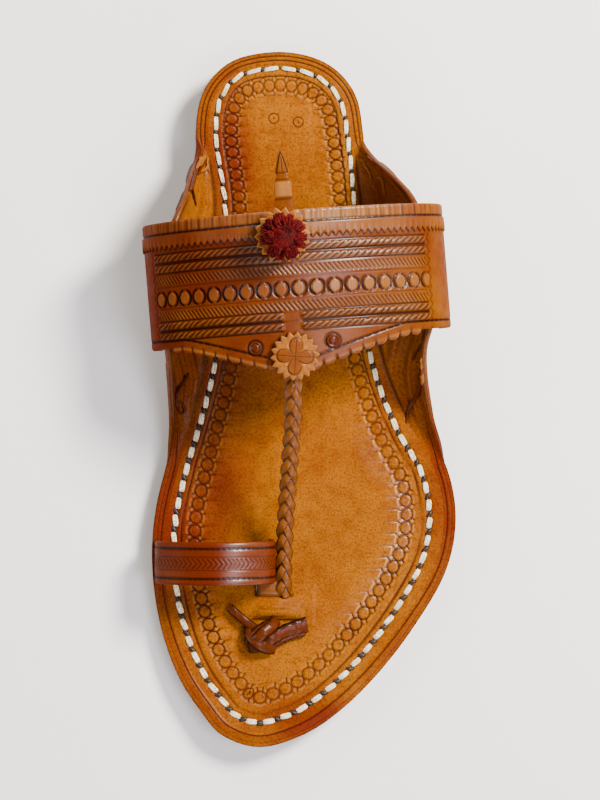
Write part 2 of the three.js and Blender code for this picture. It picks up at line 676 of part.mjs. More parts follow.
const PIECES = [
  { name: 'outsole', make: outsole, material: leather(0x8a4a16, 0.7) },
  { name: 'footbed_with_ears', make: footbedWithEars, material: leather(0xc0720f, 0.55) },
  { name: 'upper', make: upper, material: leather(0xb8660e, 0.5) },
  { name: 'leaf_tab', make: leafTab, material: leather(0xb56a1c, 0.5) },
  {
    name: 'front_rosette',
    make: () => rosette(FRONT_ROSETTE, 2 * GAP),
    material: leather(0xc98a2c, 0.5),
  },
  {
    name: 'back_rosette',
    make: () => rosette(BACK_ROSETTE, 2 * GAP + LEAF_THICKNESS),
    material: leather(0xc98a2c, 0.5),
  },
  {
    name: 'pompom',
    make: () => pompom(BACK_ROSETTE),
    material: leather(0x8c0f16, 0.95),
  },
  { name: 'toe_knot', make: toeKnot, material: leather(0x6a3010, 0.55) },
];

const sandal = new THREE.Group();
PIECES.forEach(({ name, make, material }) => {
  const mesh = new THREE.Mesh(make(), material);
  mesh.name = name;
  sandal.add(mesh);
});

// Stand the sandal on the floor with the middle of its bounding box over the origin.
const box = new THREE.Box3().setFromObject(sandal, true);
const centre = box.getCenter(new THREE.Vector3());
sandal.position.set(-centre.x, -centre.y, -box.min.z);

export default sandal;
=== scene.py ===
# %% [markdown]
# # A kolhapuri sandal for the left foot
#
# A kolhapuri is cut from vegetable-tanned leather and tooled by hand. A thick sole carries a stitched top
# leather whose rim folds up at the waist into two ears. A wide arched band is laced to the ears, a plaited
# thong runs from it to the toes, a small strap holds the big toe, and a wool pompom sits on the band.
#
# Every piece below starts from a few sizes in millimetres and from where the frame says the piece lies. The
# shapes are grids of points worked out with numpy: a grid is quick to make, and a tooled line or a stamp is
# then simply a height added to the grid, as a real tool presses it into wet leather.

import math

import bmesh
import bpy
import numpy as np
from mathutils import Matrix, Vector


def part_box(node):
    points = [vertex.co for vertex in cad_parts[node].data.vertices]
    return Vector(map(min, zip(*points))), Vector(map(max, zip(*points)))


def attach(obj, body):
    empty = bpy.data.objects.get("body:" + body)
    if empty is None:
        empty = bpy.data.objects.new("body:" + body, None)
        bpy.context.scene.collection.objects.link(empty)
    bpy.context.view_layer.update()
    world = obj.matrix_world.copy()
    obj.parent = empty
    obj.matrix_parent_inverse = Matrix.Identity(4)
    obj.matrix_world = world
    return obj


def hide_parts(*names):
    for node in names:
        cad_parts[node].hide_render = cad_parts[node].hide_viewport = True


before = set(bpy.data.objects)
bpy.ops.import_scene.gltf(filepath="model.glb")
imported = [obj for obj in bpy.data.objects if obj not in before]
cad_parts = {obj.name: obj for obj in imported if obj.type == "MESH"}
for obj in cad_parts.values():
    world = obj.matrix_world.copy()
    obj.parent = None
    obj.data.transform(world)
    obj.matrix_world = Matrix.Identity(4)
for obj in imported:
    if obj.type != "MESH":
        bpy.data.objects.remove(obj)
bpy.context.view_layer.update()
MM = 0.001
print("nodes:", sorted(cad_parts))

# %% [markdown]
# ## Sizes
#
# The sizes repeat the ones that the frame was built from, so that the looks fit it without any moving. A
# place on the sole is (x, along, z): along is the distance from the back of the heel. A short table gives
# the sole's two edges, one row for each section, and another gives the height and reach of the ears.

# %% Driving sizes in millimetres
SOLE_LENGTH = 278.0
SOLE_THICKNESS = 5.5
HEEL_LIFT = 7.0
HEEL_BREAST = 66.0
FOREFOOT_FLAT_FROM = 150.0
TOE_SPRING_FROM = 226.0
TOE_SPRING = 4.0
FOOTBED_THICKNESS = 2.5
FOOTBED_DISH = 0.7
RIM = 5.0
GAP = 0.3

BAND_HALF_WIDTH = 59.4
BAND_WALL = 2.4
BAND_WIDEST_Z = 26.0
BAND_SHOULDER = 34.0
BAND_SPLIT = math.radians(45)
BAND_LEG_TURN = math.radians(15)
BAND_LEG = 3.0
BAND_LEAN = 5.5
BAND_BACK = -29.0
BAND_FRONT = 20.0
BAND_POINT = 13.0
BAND_FRONT_DROP = 0.2
BAND_CORNER = 7.0
BAND_X = -1.8
BAND_ALONG = 95.0
BAND_TURN = math.radians(4.6)
SCALLOP_PITCH = 5.4
SCALLOPED_HALF = 10 * SCALLOP_PITCH
SCALLOP_DEPTH = 2.0

# along, medial edge, lateral edge
SOLE_SECTIONS = np.array([
    (0, -8, -8), (3, -26, 7), (9, -34.4, 16), (18, -40, 22), (33, -42.1, 24.8), (62, -38.6, 27.6),
    (95, -39.4, 31), (124, -42.3, 37.4), (146, -48, 47.2), (165, -53.8, 58.6), (186, -58.6, 62.7),
    (207, -59.5, 59), (230, -56.1, 46), (250, -49, 30.3), (264, -40, 15.5), (273, -32, 1.5), (278, -17, -17),
])

# along, medial height, medial reach, lateral height, lateral reach
EAR_SECTIONS = np.array([
    (34, 0, 0, 0, 0), (42, 6, 1.4, 9, 2.6), (50, 17, 5.6, 21, 8.4), (60, 26, 9.8, 30, 14.8),
    (70, 31, 14, 33, 18), (95, 33, 21, 34, 25), (115, 29, 15.5, 28, 16), (122, 25, 13, 24, 12.8),
    (134, 16, 9.6, 16, 9.6), (146, 8, 5.2, 9, 6.2), (156, 3, 2.2, 4, 3), (166, 0, 0, 0, 0),
])

# along, then how far inside the edge the stitches and the stamped chain run: medial two, lateral two
LINE_SECTIONS = np.array([
    (0, 6.6, 13.2, 6.6, 13.2), (18, 7.6, 13.8, 6.6, 12.6), (60, 8.0, 13.8, 6.4, 12.0),
    (124, 7.8, 14.2, 8.4, 14.8), (146, 8.0, 15.0, 9.6, 17.2), (165, 8.2, 15.8, 10.4, 19.0),
    (186, 8.4, 16.4, 10.7, 20.0), (207, 8.8, 17.6, 10.6, 20.2), (230, 9.2, 18.6, 10.0, 19.8),
    (264, 9.6, 19.4, 9.6, 19.4), (278, 9.6, 19.6, 9.6, 19.6),
])
LINE_COLUMNS = {"medial": (1, 2), "lateral": (3, 4)}


def smooth_table(table, column, at):
    """A smooth curve through one column of a table, held level beyond its ends."""
    at = np.clip(np.asarray(at, float), table[0, 0], table[-1, 0])
    keys, values = table[:, 0], table[:, column]
    slopes = np.zeros(len(keys))
    slopes[1:-1] = (values[2:] - values[:-2]) / (keys[2:] - keys[:-2])
    i = np.clip(np.searchsorted(keys, at, side="right") - 1, 0, len(keys) - 2)
    span = keys[i + 1] - keys[i]
    f = (at - keys[i]) / span
    rise = f * f * (3 - 2 * f)
    bend = f * (1 - f) ** 2 * slopes[i] - f * f * (1 - f) * slopes[i + 1]
    return values[i] * (1 - rise) + values[i + 1] * rise + span * bend


def step(x, low, high):
    """0 below low, 1 above high, smooth between."""
    f = np.clip((np.asarray(x, float) - low) / (high - low), 0, 1)
    return f * f * (3 - 2 * f)


def unit(vectors):
    """The same directions with length 1; the last axis holds the components."""
    return vectors / np.linalg.norm(vectors, axis=-1, keepdims=True)


def run_length(path):
    """Distance along a path from its first point to each of its points."""
    return np.concatenate([[0], np.cumsum(np.linalg.norm(np.diff(path, axis=0), axis=1))])


def circle(angle, right, back):
    """Points of a unit circle in the plane of two vectors."""
    return np.cos(angle)[..., None] * right + np.sin(angle)[..., None] * back


def turned_by(vector, angle):
    """A vector turned about the upright axis."""
    c, s = math.cos(angle), math.sin(angle)
    return np.array([vector[0] * c - vector[1] * s, vector[0] * s + vector[1] * c, vector[2]])


# %% [markdown]
# ## The outline
#
# The sole's edge is a smooth closed curve through the table's rows, down one side and back up the other.
# Both sides are then read off at the same stations, closer together round the heel and the toe, so that
# a row of points can run straight across from one edge to the other like a rung.

# %% Trace the sole's edge
OUTLINE_STEPS = 64


def closed_curve(points, steps):
    """A centripetal Catmull-Rom curve: it passes through each point and never loops between close ones."""
    p1 = points
    p0, p2, p3 = np.roll(points, 1, 0), np.roll(points, -1, 0), np.roll(points, -2, 0)
    d0, d1, d2 = (np.sqrt(np.linalg.norm(b - a, axis=1))[:, None] for a, b in ((p0, p1), (p1, p2), (p2, p3)))
    t1 = ((p1 - p0) / d0 - (p2 - p0) / (d0 + d1) + (p2 - p1) / d1) * d1
    t2 = ((p2 - p1) / d1 - (p3 - p1) / (d1 + d2) + (p3 - p2) / d2) * d1
    w = np.arange(steps)[None, :, None] / steps
    c2, c3 = -3 * p1 + 3 * p2 - 2 * t1 - t2, 2 * p1 - 2 * p2 + t1 + t2
    curve = p1[:, None] + t1[:, None] * w + c2[:, None] * w**2 + c3[:, None] * w**3
    return curve.reshape(-1, points.shape[1])


def outline_sides():
    """Each side as points (x, along) from the heel to the toe, with inward normals and running length."""
    rows = SOLE_SECTIONS
    down = rows[:, [1, 0]]
    back = rows[1:-1][::-1][:, [2, 0]]
    curve = closed_curve(np.vstack([down, back]), OUTLINE_STEPS)
    curve = np.roll(curve, -np.argmin(curve[:, 1]), 0)
    toe = np.argmax(curve[:, 1])
    sides = {"medial": curve[: toe + 1], "lateral": np.vstack([curve[toe:], curve[:1]])[::-1]}
    made = {}
    for side, points in sides.items():
        tangent = np.gradient(points, axis=0)
        tangent[0] = tangent[-1] = (-1 if side == "medial" else 1, 0)
        tangent[-1, 0] *= -1
        tangent = unit(tangent)
        turn = 1 if side == "medial" else -1
        normal = np.stack([turn * tangent[:, 1], -turn * tangent[:, 0]], 1)
        made[side] = {"points": points, "normal": normal, "length": run_length(points)}
    return made


SIDES = outline_sides()
outsole_low, outsole_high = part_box("outsole")
widest = [SIDES["medial"]["points"][:, 0].min(), SIDES["lateral"]["points"][:, 0].max()]
SHIFT_X = (outsole_low.x + outsole_high.x) / 2 / MM - sum(widest) / 2
print("sole width", round(widest[1] - widest[0], 1), "mm, shift", round(SHIFT_X, 2), "mm")


def place(x, along, z):
    """Points of the sandal, in millimetres in the frame's axes."""
    x, along, z = np.broadcast_arrays(np.asarray(x, float), along, z)
    return np.stack([x + SHIFT_X, SOLE_LENGTH / 2 - along, z], -1)


def stations(count):
    """Places along the sole that are evenly spaced by the length of its edge."""
    heel, toe = (SIDES["medial"]["points"][i, 1] for i in (0, -1))
    along = heel + (toe - heel) * (1 - np.cos(np.linspace(0, math.pi, 4000))) / 2
    length = sum(np.interp(along, s["points"][:, 1], s["length"]) for s in SIDES.values())
    return np.interp(np.linspace(0, length[-1], count), length, along)


def edge(side, along):
    """The edge's point and inward normal at each station."""
    s = SIDES[side]
    key = np.maximum.accumulate(s["points"][:, 1])
    x = np.interp(along, key, s["points"][:, 0])
    normal = unit(np.stack([np.interp(along, key, s["normal"][:, i]) for i in (0, 1)], -1))
    return np.stack([x, np.asarray(along, float)], -1), normal


def sheet_bottom(along):
    """Underside of the sole leather: lifted at the heel, flat under the ball, sprung at the toe."""
    waist = step(along, HEEL_BREAST - 8, FOREFOOT_FLAT_FROM)
    toe = np.maximum(0, (along - TOE_SPRING_FROM) / (SOLE_LENGTH - TOE_SPRING_FROM))
    return HEEL_LIFT * (1 - waist) + TOE_SPRING * toe**2


def footbed_under(along):
    return sheet_bottom(along) + SOLE_THICKNESS + GAP


def footbed_top(x, along):
    """The walking surface, a little dished."""
    low, high = (edge(side, along)[0][..., 0] for side in ("medial", "lateral"))
    half = (high - low) / 2
    q = np.clip(np.abs(x - (low + high) / 2) / np.maximum(1, half - RIM), 0, 1)
    return footbed_under(along) + FOOTBED_THICKNESS - FOOTBED_DISH * (1 - q**2) * np.clip(half / 30, 0, 1)


# %% [markdown]
# ## The arch of the band
#
# The band is a strip bent over the instep: one wide arc at the crown, tighter arcs at the shoulders and
# short legs. Distance is measured along the leather from the crown, so a row of stamps that is evenly spaced
# on the flat strip stays evenly spaced on the arch.

# %% Bend the band


def arch(distance, half, shoulder, split, widest_z, turn_past):
    """(u, z) on the outer face at a distance along the leather from the crown."""
    side, d = np.where(distance < 0, -1, 1), np.abs(distance)
    crown = (half - shoulder) / math.sin(split) + shoulder
    centre_z = widest_z - (crown - shoulder) * math.cos(split)
    on_crown = d <= crown * split
    angle = np.clip(split + (d - crown * split) / shoulder, split, math.pi / 2 + turn_past)
    leg = np.maximum(0, d - crown * split - shoulder * (math.pi / 2 + turn_past - split))
    u = np.where(
        on_crown,
        crown * np.sin(d / crown),
        (crown - shoulder) * math.sin(split) + shoulder * np.sin(angle) - leg * math.sin(turn_past),
    )
    z = np.where(
        on_crown,
        centre_z + crown * np.cos(d / crown),
        widest_z + shoulder * np.cos(angle) - leg * math.cos(turn_past),
    )
    return side * u, z


def arch_half_length(half, shoulder, split, turn_past, leg):
    crown = (half - shoulder) / math.sin(split) + shoulder
    return crown * split + shoulder * (math.pi / 2 + turn_past - split) + leg


BAND_HALF_LENGTH = arch_half_length(BAND_HALF_WIDTH, BAND_SHOULDER, BAND_SPLIT, BAND_LEG_TURN, BAND_LEG)
BAND_RISE = float(arch(0.0, BAND_HALF_WIDTH, BAND_SHOULDER, BAND_SPLIT, 0.0, BAND_LEG_TURN)[1])
print("band length", round(2 * BAND_HALF_LENGTH, 1), "mm, rise", round(BAND_RISE, 1), "mm")


def band_outer(distance, v):
    """The arch leans to the big-toe side and gets lower towards the toes."""
    u, z = arch(distance, BAND_HALF_WIDTH, BAND_SHOULDER, BAND_SPLIT, BAND_WIDEST_Z, BAND_LEG_TURN)
    raised = np.maximum(0, z - BAND_WIDEST_Z)
    drop = BAND_FRONT_DROP * (v - BAND_BACK) / (BAND_FRONT + BAND_POINT - BAND_BACK)
    return u - BAND_LEAN * raised / BAND_RISE, z - raised * drop


def band_face(distance, v, depth):
    """(u, z) at a depth below the outer face; a negative depth stands proud."""
    du, dz = np.subtract(band_outer(distance + 0.5, v), band_outer(distance - 0.5, v))
    length = np.hypot(du, dz)
    u, z = band_outer(distance, v)
    return u + depth * dz / length, z - depth * du / length


def band_place(u, v, z):
    c, s = math.cos(BAND_TURN), math.sin(BAND_TURN)
    return place(BAND_X + u * c + v * s, BAND_ALONG - u * s + v * c, z)


def band_point(distance, v, depth=0.0):
    distance, v, depth = np.broadcast_arrays(np.asarray(distance, float), v, depth)
    u, z = band_face(distance, v, depth)
    return band_place(u, v, z)


def band_seat(distance, v, height):
    """Origin, right, back and up vectors for a flat piece lying on the band."""
    right = unit(band_point(distance + 1, v) - band_point(distance - 1, v))
    back = band_point(distance, v - 1) - band_point(distance, v + 1)
    up = unit(np.cross(right, back))
    return band_point(distance, v) + up * height, right, np.cross(up, right), up


def band_front_edge(distance):
    """The front edge runs out to a point in the middle."""
    q = np.abs(distance) / BAND_HALF_WIDTH
    return BAND_FRONT + BAND_POINT * np.maximum(0, 1 - q / 0.8) ** 1.2


def band_back_edge(distance):
    reach = np.clip(BAND_CORNER - (BAND_HALF_LENGTH - np.abs(distance)), 0, BAND_CORNER)
    return BAND_BACK + BAND_CORNER - np.sqrt(BAND_CORNER**2 - reach**2)


def band_inner_limit(sign, z, along):
    """How far out leather inside the band may reach at each height, as x."""
    v = (along - BAND_ALONG) / math.cos(BAND_TURN)
    if not BAND_BACK - 4 <= v <= BAND_FRONT + 8:
        return np.full(len(z), np.inf)
    distance = sign * BAND_HALF_LENGTH * np.linspace(1, 0.25, 200)
    u, height = band_face(distance, np.full(200, v), BAND_WALL + GAP + 0.25)
    order = np.argsort(height)
    reach = np.interp(z, height[order], u[order])
    return sign * (BAND_X + reach / math.cos(BAND_TURN) + (along - BAND_ALONG) * math.tan(BAND_TURN))


# %% [markdown]
# ## Making meshes
#
# One function turns rings of points into a closed mesh. Up to four numbers, here called marks, are stored
# at every point for the materials. One mark darkens the leather: where a tool pushed, dye gathers and looks
# dark, and in grooves, gaps, creases and undersides the same darkening is painted shade. Another paints
# raised places pale, partly wear from handling and partly painted highlight and sheen. A third is how dark
# the leather is painted, partly deeper dye and partly painted shade. The last is how much more or less of
# the shiny coat lies there. Storing them on the mesh keeps the colour exactly on the shape.

# %% Mesh helpers
WELD_DISTANCE = 2e-6
CURVE_STEPS = 400


def finish_mesh(obj, material, slot, *nodes):
    """Common last steps: material, smooth shading, ride on the body, replace the plain solids."""
    obj.data.materials.append(material)
    obj.data.polygons.foreach_set("use_smooth", [True] * len(obj.data.polygons))
    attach(obj, "root")
    if nodes:
        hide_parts(*nodes)
    triangles = sum(len(p.vertices) - 2 for p in obj.data.polygons)
    print(f"{obj.name}: {len(obj.data.vertices)} vertices, {triangles} triangles")


def mesh_object(name, points, faces, marks=None, weld=True):
    """An object from points in millimetres and faces; marks are numbers for each point."""
    mesh = bpy.data.meshes.new(name)
    mesh.from_pydata((np.asarray(points, float).reshape(-1, 3) * MM).tolist(), [], faces)
    for key, values in (marks or {}).items():
        layer = mesh.attributes.new(key, "FLOAT", "POINT")
        layer.data.foreach_set("value", np.asarray(values, np.float32).ravel())
    obj = bpy.data.objects.new(name, mesh)
    bpy.context.collection.objects.link(obj)
    edit = bmesh.new()
    edit.from_mesh(mesh)
    if weld:
        bmesh.ops.remove_doubles(edit, verts=edit.verts, dist=WELD_DISTANCE)
    bmesh.ops.recalc_face_normals(edit, faces=edit.faces)
    edit.to_mesh(mesh)
    edit.free()
    return obj


def ring_faces(rings, around, start=0, caps=True):
    """Faces of a tube through rings of equal count; caps close its two ends."""
    faces = []
    for r in range(rings - 1):
        a, b = start + r * around, start + (r + 1) * around
        for c in range(around):
            d = (c + 1) % around
            faces.append((a + c, a + d, b + d, b + c))
    if caps:
        faces.append(tuple(range(start + around - 1, start - 1, -1)))
        faces.append(tuple(range(start + (rings - 1) * around, start + rings * around)))
    return faces


def rings_object(name, rings, marks=None, caps=True):
    return mesh_object(name, rings, ring_faces(len(rings), rings.shape[1], caps=caps), marks)


def many_tubes(name, tubes, marks=None):
    """Many closed tubes, each a list of rings, joined in one mesh."""
    points, faces, start = [], [], 0
    for rings in tubes:
        rings = np.asarray(rings, float)
        faces += ring_faces(len(rings), rings.shape[1], start)
        points.append(rings.reshape(-1, 3))
        start += len(points[-1])
    return mesh_object(name, np.vstack(points), faces, marks, weld=False)


def bump(x, half):
    """A round-topped ridge: 1 in the middle, 0 beyond half its width."""
    return np.cos(np.clip(np.asarray(x, float) / half, -1, 1) * math.pi / 2) ** 2


def wobble(*coordinates, seed=0):
    """A smooth uneven value from -1 to 1: a few waves of different lengths and directions."""
    rng = np.random.default_rng(seed)
    total = 0.0
    for _ in range(5):
        phase = rng.uniform(0, 2 * math.pi)
        weights = rng.normal(size=len(coordinates))
        total = total + np.sin(sum(w * c for w, c in zip(weights, coordinates)) + phase)
    return total / 5


def open_curve(points, count):
    """A smooth curve through chosen points, evenly spaced by length."""
    points = np.asarray(points, float)
    key = run_length(points)
    table = np.column_stack([key, points])
    fine = np.linspace(0, key[-1], CURVE_STEPS)
    curve = np.stack([smooth_table(table, i + 1, fine) for i in range(points.shape[1])], 1)
    length = run_length(curve)
    even = np.linspace(0, length[-1], count)
    return np.stack([np.interp(even, length, curve[:, i]) for i in range(points.shape[1])], 1)


STRIP_AROUND = 16
STRIP_SQUARE = 0.55


def strip_section():
    """The flat strip's section, from -1 to 1 across and up, with rounded corners."""
    angle = np.linspace(0, 2 * math.pi, STRIP_AROUND, endpoint=False)
    a, b = np.cos(angle), np.sin(angle)
    return np.sign(a) * np.abs(a) ** STRIP_SQUARE, np.sign(b) * np.abs(b) ** STRIP_SQUARE


def strip_marks(counts, dark=0.8, bright=0.5):
    """Marks for strips joined in one mesh: dark edges and underside as painted shade, a paler top as painted
    highlight.
    """
    a, b = strip_section()
    press_and_shade = np.where(b < -0.1, 0.7, dark * step(np.abs(a), 0.6, 1.0))
    wear_and_highlight = np.where(b > 0, bright * (1 - np.abs(a)) ** 0.6, 0.0)
    return {"press_and_shade": np.tile(press_and_shade, sum(counts)), "wear_and_highlight": np.tile(wear_and_highlight, sum(counts))}


def strip_rings(path, up, width, thickness, crown=0.25):
    """Rings of a flat strip with rounded edges along a path; width and thickness may vary along it."""
    path = np.asarray(path, float)
    tangent = unit(np.gradient(path, axis=0))
    across = unit(np.cross(tangent, np.broadcast_to(up, path.shape)))
    top = np.cross(across, tangent)
    a, b = strip_section()
    b = b + crown * np.where(b > 0, 1 - a**2, 0)
    wide = np.broadcast_to(width, len(path))[:, None, None] / 2 * a[None, :, None] * across[:, None]
    thick = np.broadcast_to(thickness, len(path))[:, None, None] / 2 * b[None, :, None] * top[:, None]
    return path[:, None] + wide + thick


# %% [markdown]
# ## Camera and light
#
# The sandal is seen from straight above, as in a flat lay, from a little to its big-toe side. The strongest
# lamp stands behind the heel on the little-toe side. A second one above the little toes puts the pale sheen
# on the band and the toe strap, and three weak ones fill the shadows.

# %% Set the camera and the lights
CAMERA_HEIGHT = 1.2
CAMERA_SIDE = -0.065
SHOE_IN_FRAME = 0.86
SENSOR = 36.0


def colour(code):
    """An sRGB hex colour as linear values."""
    value = [int(code[i : i + 2], 16) / 255 for i in (1, 3, 5)]
    return tuple(c / 12.92 if c <= 0.04045 else ((c + 0.055) / 1.055) ** 2.4 for c in value) + (1.0,)


def look_at(obj, target, up=(0, 1, 0)):
    """Turns a camera or lamp to look at a point, with the up direction towards the top of the view."""
    back = (obj.location - Vector(target)).normalized()
    right = Vector(up).cross(back).normalized()
    turned = Matrix((right, back.cross(right), back)).transposed()
    obj.rotation_euler = turned.to_euler()


def area_lamp(name, location, target, size, power, tint):
    lamp = bpy.data.lights.new(name, "AREA")
    lamp.shape, lamp.size, lamp.energy = "DISK", size, power
    lamp.color = colour(tint)[:3]
    obj = bpy.data.objects.new(name, lamp)
    obj.location = location
    bpy.context.collection.objects.link(obj)
    look_at(obj, target)


camera_data = bpy.data.cameras.new("camera")
camera = bpy.data.objects.new("camera", camera_data)
bpy.context.collection.objects.link(camera)
camera.location = (CAMERA_SIDE, 0.004, CAMERA_HEIGHT)
look_at(camera, (0.0, 0.0, 0.012))
camera_data.sensor_width = SENSOR
camera_data.lens = SENSOR * CAMERA_HEIGHT / (SOLE_LENGTH * MM / SHOE_IN_FRAME)
bpy.context.scene.camera = camera

area_lamp("key_lamp", (0.72, 0.62, 0.95), (0, 0, 0.03), 0.4, 54, "#FFF6EC")
area_lamp("sheen_lamp", (0.5, -0.26, 1.1), (0, 0.03, 0.05), 0.6, 9, "#F4EEFF")
area_lamp("left_fill", (-1.4, -0.2, 0.5), (0, 0, 0.03), 1.0, 15, "#FFF0E2")
area_lamp("toe_fill", (0.35, -1.35, 0.6), (0, 0, 0.02), 1.0, 12, "#FFFFFF")
area_lamp("heel_fill", (-0.3, 1.4, 0.7), (0, 0, 0.02), 1.0, 10, "#FFFFFF")

world = bpy.data.worlds.new("studio")
bpy.context.scene.world = world
world.use_nodes = True
world.node_tree.nodes["Background"].inputs["Color"].default_value = colour("#F6F6F4")
world.node_tree.nodes["Background"].inputs["Strength"].default_value = 0.2

# %% [markdown]
# ## Materials
#
# A few small functions add nodes with their settings and links. Every leather is the same idea: a dye whose
# colour wanders over a few centimetres, a fine pore grain, a dark colour where tools pressed and where shade
# is painted, and a pale tint where raised places are worn and where highlight and sheen are painted.
# What changes between them is the dye, the polish and the size of the grain. The fibres below are almost
# matt, and the wax on top is a thin smooth coat, so it shines only where the surface turns to the lamp.

# %% A function for nodes


def add(tree, kind, inputs=None, **settings):
    """Adds a node; settings are its attributes, inputs its socket values or the sockets that feed them."""
    node = tree.nodes.new(kind)
    for key, value in settings.items():
        setattr(node, key, value)
    for key, value in (inputs or {}).items():
        if isinstance(value, bpy.types.NodeSocket):
            tree.links.new(value, node.inputs[key])
        else:
            node.inputs[key].default_value = value
    return node


def new_material(name):
    material = bpy.data.materials.new(name)
    material.use_nodes = True
    tree = material.node_tree
    tree.nodes.clear()
    shader = add(tree, "ShaderNodeBsdfPrincipled")
    output = add(tree, "ShaderNodeOutputMaterial")
    tree.links.new(shader.outputs[0], output.inputs["Surface"])
    return material, tree, shader


def blend_colours(tree, factor, first, second):
    inputs = {0: factor, 6: first, 7: second}
    return add(tree, "ShaderNodeMix", inputs, data_type="RGBA").outputs[2]


def ramp(tree, source, low, high, to_low=0.0, to_high=1.0, clamp=True):
    inputs = {0: source, 1: low, 2: high, 3: to_low, 4: to_high}
    return add(tree, "ShaderNodeMapRange", inputs, clamp=clamp).outputs[0]


def per_mm(size):
    """Noise scale, per metre, for features of a size in millimetres."""
    return 1 / (size * MM)


def combine(tree, operation, first, second, clamp=True):
    inputs = {0: first, 1: second}
    return add(tree, "ShaderNodeMath", inputs, operation=operation, use_clamp=clamp).outputs[0]


def noise(tree, where, size_mm, detail):
    inputs = {"Vector": where, "Scale": per_mm(size_mm), "Detail": detail}
    return add(tree, "ShaderNodeTexNoise", inputs).outputs[0]


def mark(tree, name):
    """One of the numbers that the meshes store at their points."""
    return add(tree, "ShaderNodeAttribute", attribute_name=name).outputs["Fac"]


def relief(tree, shader, height, strength, depth_mm):
    bumps = add(tree, "ShaderNodeBump", {"Height": height, "Strength": strength, "Distance": depth_mm * MM})
    tree.links.new(bumps.outputs[0], shader.inputs["Normal"])


# %% [markdown]
# ### Vegetable-tanned leather
#
# Bark-tanned cowhide is hand dyed with oil and turmeric-coloured dye, then rubbed to a soft shine. Its IOR
# is about 1.45. Pores are about 0.8 mm apart on the footbed and finer on the thin straps.

# %% Leather
LEATHER_IOR = 1.45
FIBRE_SPECULAR = 0.03
WEAR_AND_HIGHLIGHT_TINT = "#C68C48"
WEAR_AND_HIGHLIGHT_MOST = 0.5


def leather(name, dyes, shine, shine_rough, grain_mm=0.8, grain_depth=0.1, patch_mm=38, flecks=0.25):
    """Dyes are the light, the deep and the dark colour of tool marks and painted shade; flecks is how strong
    the fine dark specks are.
    """
    light, deep, press_and_shade_colour = (colour(code) for code in dyes)
    material, tree, shader = new_material(name)
    where = add(tree, "ShaderNodeTexCoord").outputs["Object"]
    patches = noise(tree, where, patch_mm, 4.0)
    streaks = noise(tree, where, 5, 6.0)
    specks = noise(tree, where, 0.85, 4.0)

    wander = ramp(tree, patches, 0.3, 0.7, -0.35, 0.35, clamp=False)
    dye_and_shade = blend_colours(tree, combine(tree, "ADD", mark(tree, "tone"), wander), light, deep)
    uneven = combine(tree, "MULTIPLY", ramp(tree, streaks, 0.42, 0.8), 0.5)
    dye_and_shade = blend_colours(tree, uneven, dye_and_shade, deep)
    spots = combine(tree, "MULTIPLY", ramp(tree, specks, 0.44, 0.74), flecks)
    dye_and_shade = blend_colours(tree, spots, dye_and_shade, press_and_shade_colour)
    # Pale tint on worn raised places and on painted highlights, then the dark colour in tool marks and
    # painted shade.
    wear_and_highlight_amount = combine(tree, "MULTIPLY", mark(tree, "wear_and_highlight"), WEAR_AND_HIGHLIGHT_MOST)
    dye_and_shade = blend_colours(tree, wear_and_highlight_amount, dye_and_shade, colour(WEAR_AND_HIGHLIGHT_TINT))
    dye_and_shade = blend_colours(tree, mark(tree, "press_and_shade"), dye_and_shade, press_and_shade_colour)
    tree.links.new(dye_and_shade, shader.inputs["Base Color"])

    tree.links.new(ramp(tree, streaks, 0.3, 0.7, 0.5, 0.7), shader.inputs["Roughness"])
    shader.inputs["IOR"].default_value = LEATHER_IOR
    shader.inputs["Specular IOR Level"].default_value = FIBRE_SPECULAR
    tree.links.new(combine(tree, "ADD", mark(tree, "wax"), shine), shader.inputs["Coat Weight"])
    shader.inputs["Coat Roughness"].default_value = shine_rough
    shader.inputs["Coat IOR"].default_value = LEATHER_IOR

    cells = {"Vector": where, "Scale": per_mm(grain_mm)}
    pores = add(tree, "ShaderNodeTexVoronoi", cells, distance="EUCLIDEAN").outputs["Distance"]
    grain = combine(tree, "ADD", ramp(tree, pores, 0.05, 0.55), specks, clamp=False)
    relief(tree, shader, grain, 1.0, grain_depth)
    return material


FOOTBED_LEATHER = leather("footbed_leather_vegetable_tanned", ("#925400", "#641E00", "#2A0800"), 0.1, 0.3,
                          flecks=0.6)
STRAP_LEATHER = leather("strap_leather_tooled_and_waxed", ("#723E00", "#561A00", "#180500"), 0.7, 0.32,
                        grain_mm=0.6, grain_depth=0.05, patch_mm=26)
ROSETTE_LEATHER = leather("rosette_leather_embossed", ("#824602", "#602A00", "#1C0800"), 0.3, 0.35,
                          grain_mm=0.5, grain_depth=0.04, patch_mm=12)
PLAIT_LEATHER = leather("plait_leather_cut_thong", ("#723A00", "#4A1A00", "#100400"), 0.5, 0.3,
                        grain_mm=0.5, grain_depth=0.05, patch_mm=14)
KNOT_LEATHER = leather("knot_leather_wet_rolled", ("#4E1C00", "#2C0C00", "#080200"), 0.3, 0.28,
                       grain_mm=0.6, grain_depth=0.14, patch_mm=6)
TORN_LEATHER = leather("lace_leather_torn_ends", ("#8A5216", "#64340A", "#301400"), 0.3, 0.4,
                       grain_mm=0.4, grain_depth=0.12, patch_mm=5)
SOLE_LEATHER = leather("sole_leather_burnished_edge", ("#6A3408", "#401A04", "#160802"), 0.3, 0.4,
                       patch_mm=30)

# %% [markdown]
# ### Thread and wool
#
# The rim is sewn with a thick waxed cotton thread, off-white, and a black one carries it through the holes.
# The pompom is dull red wool whose fibres catch a little light at grazing angles, which sheen gives.

# %% Thread and wool


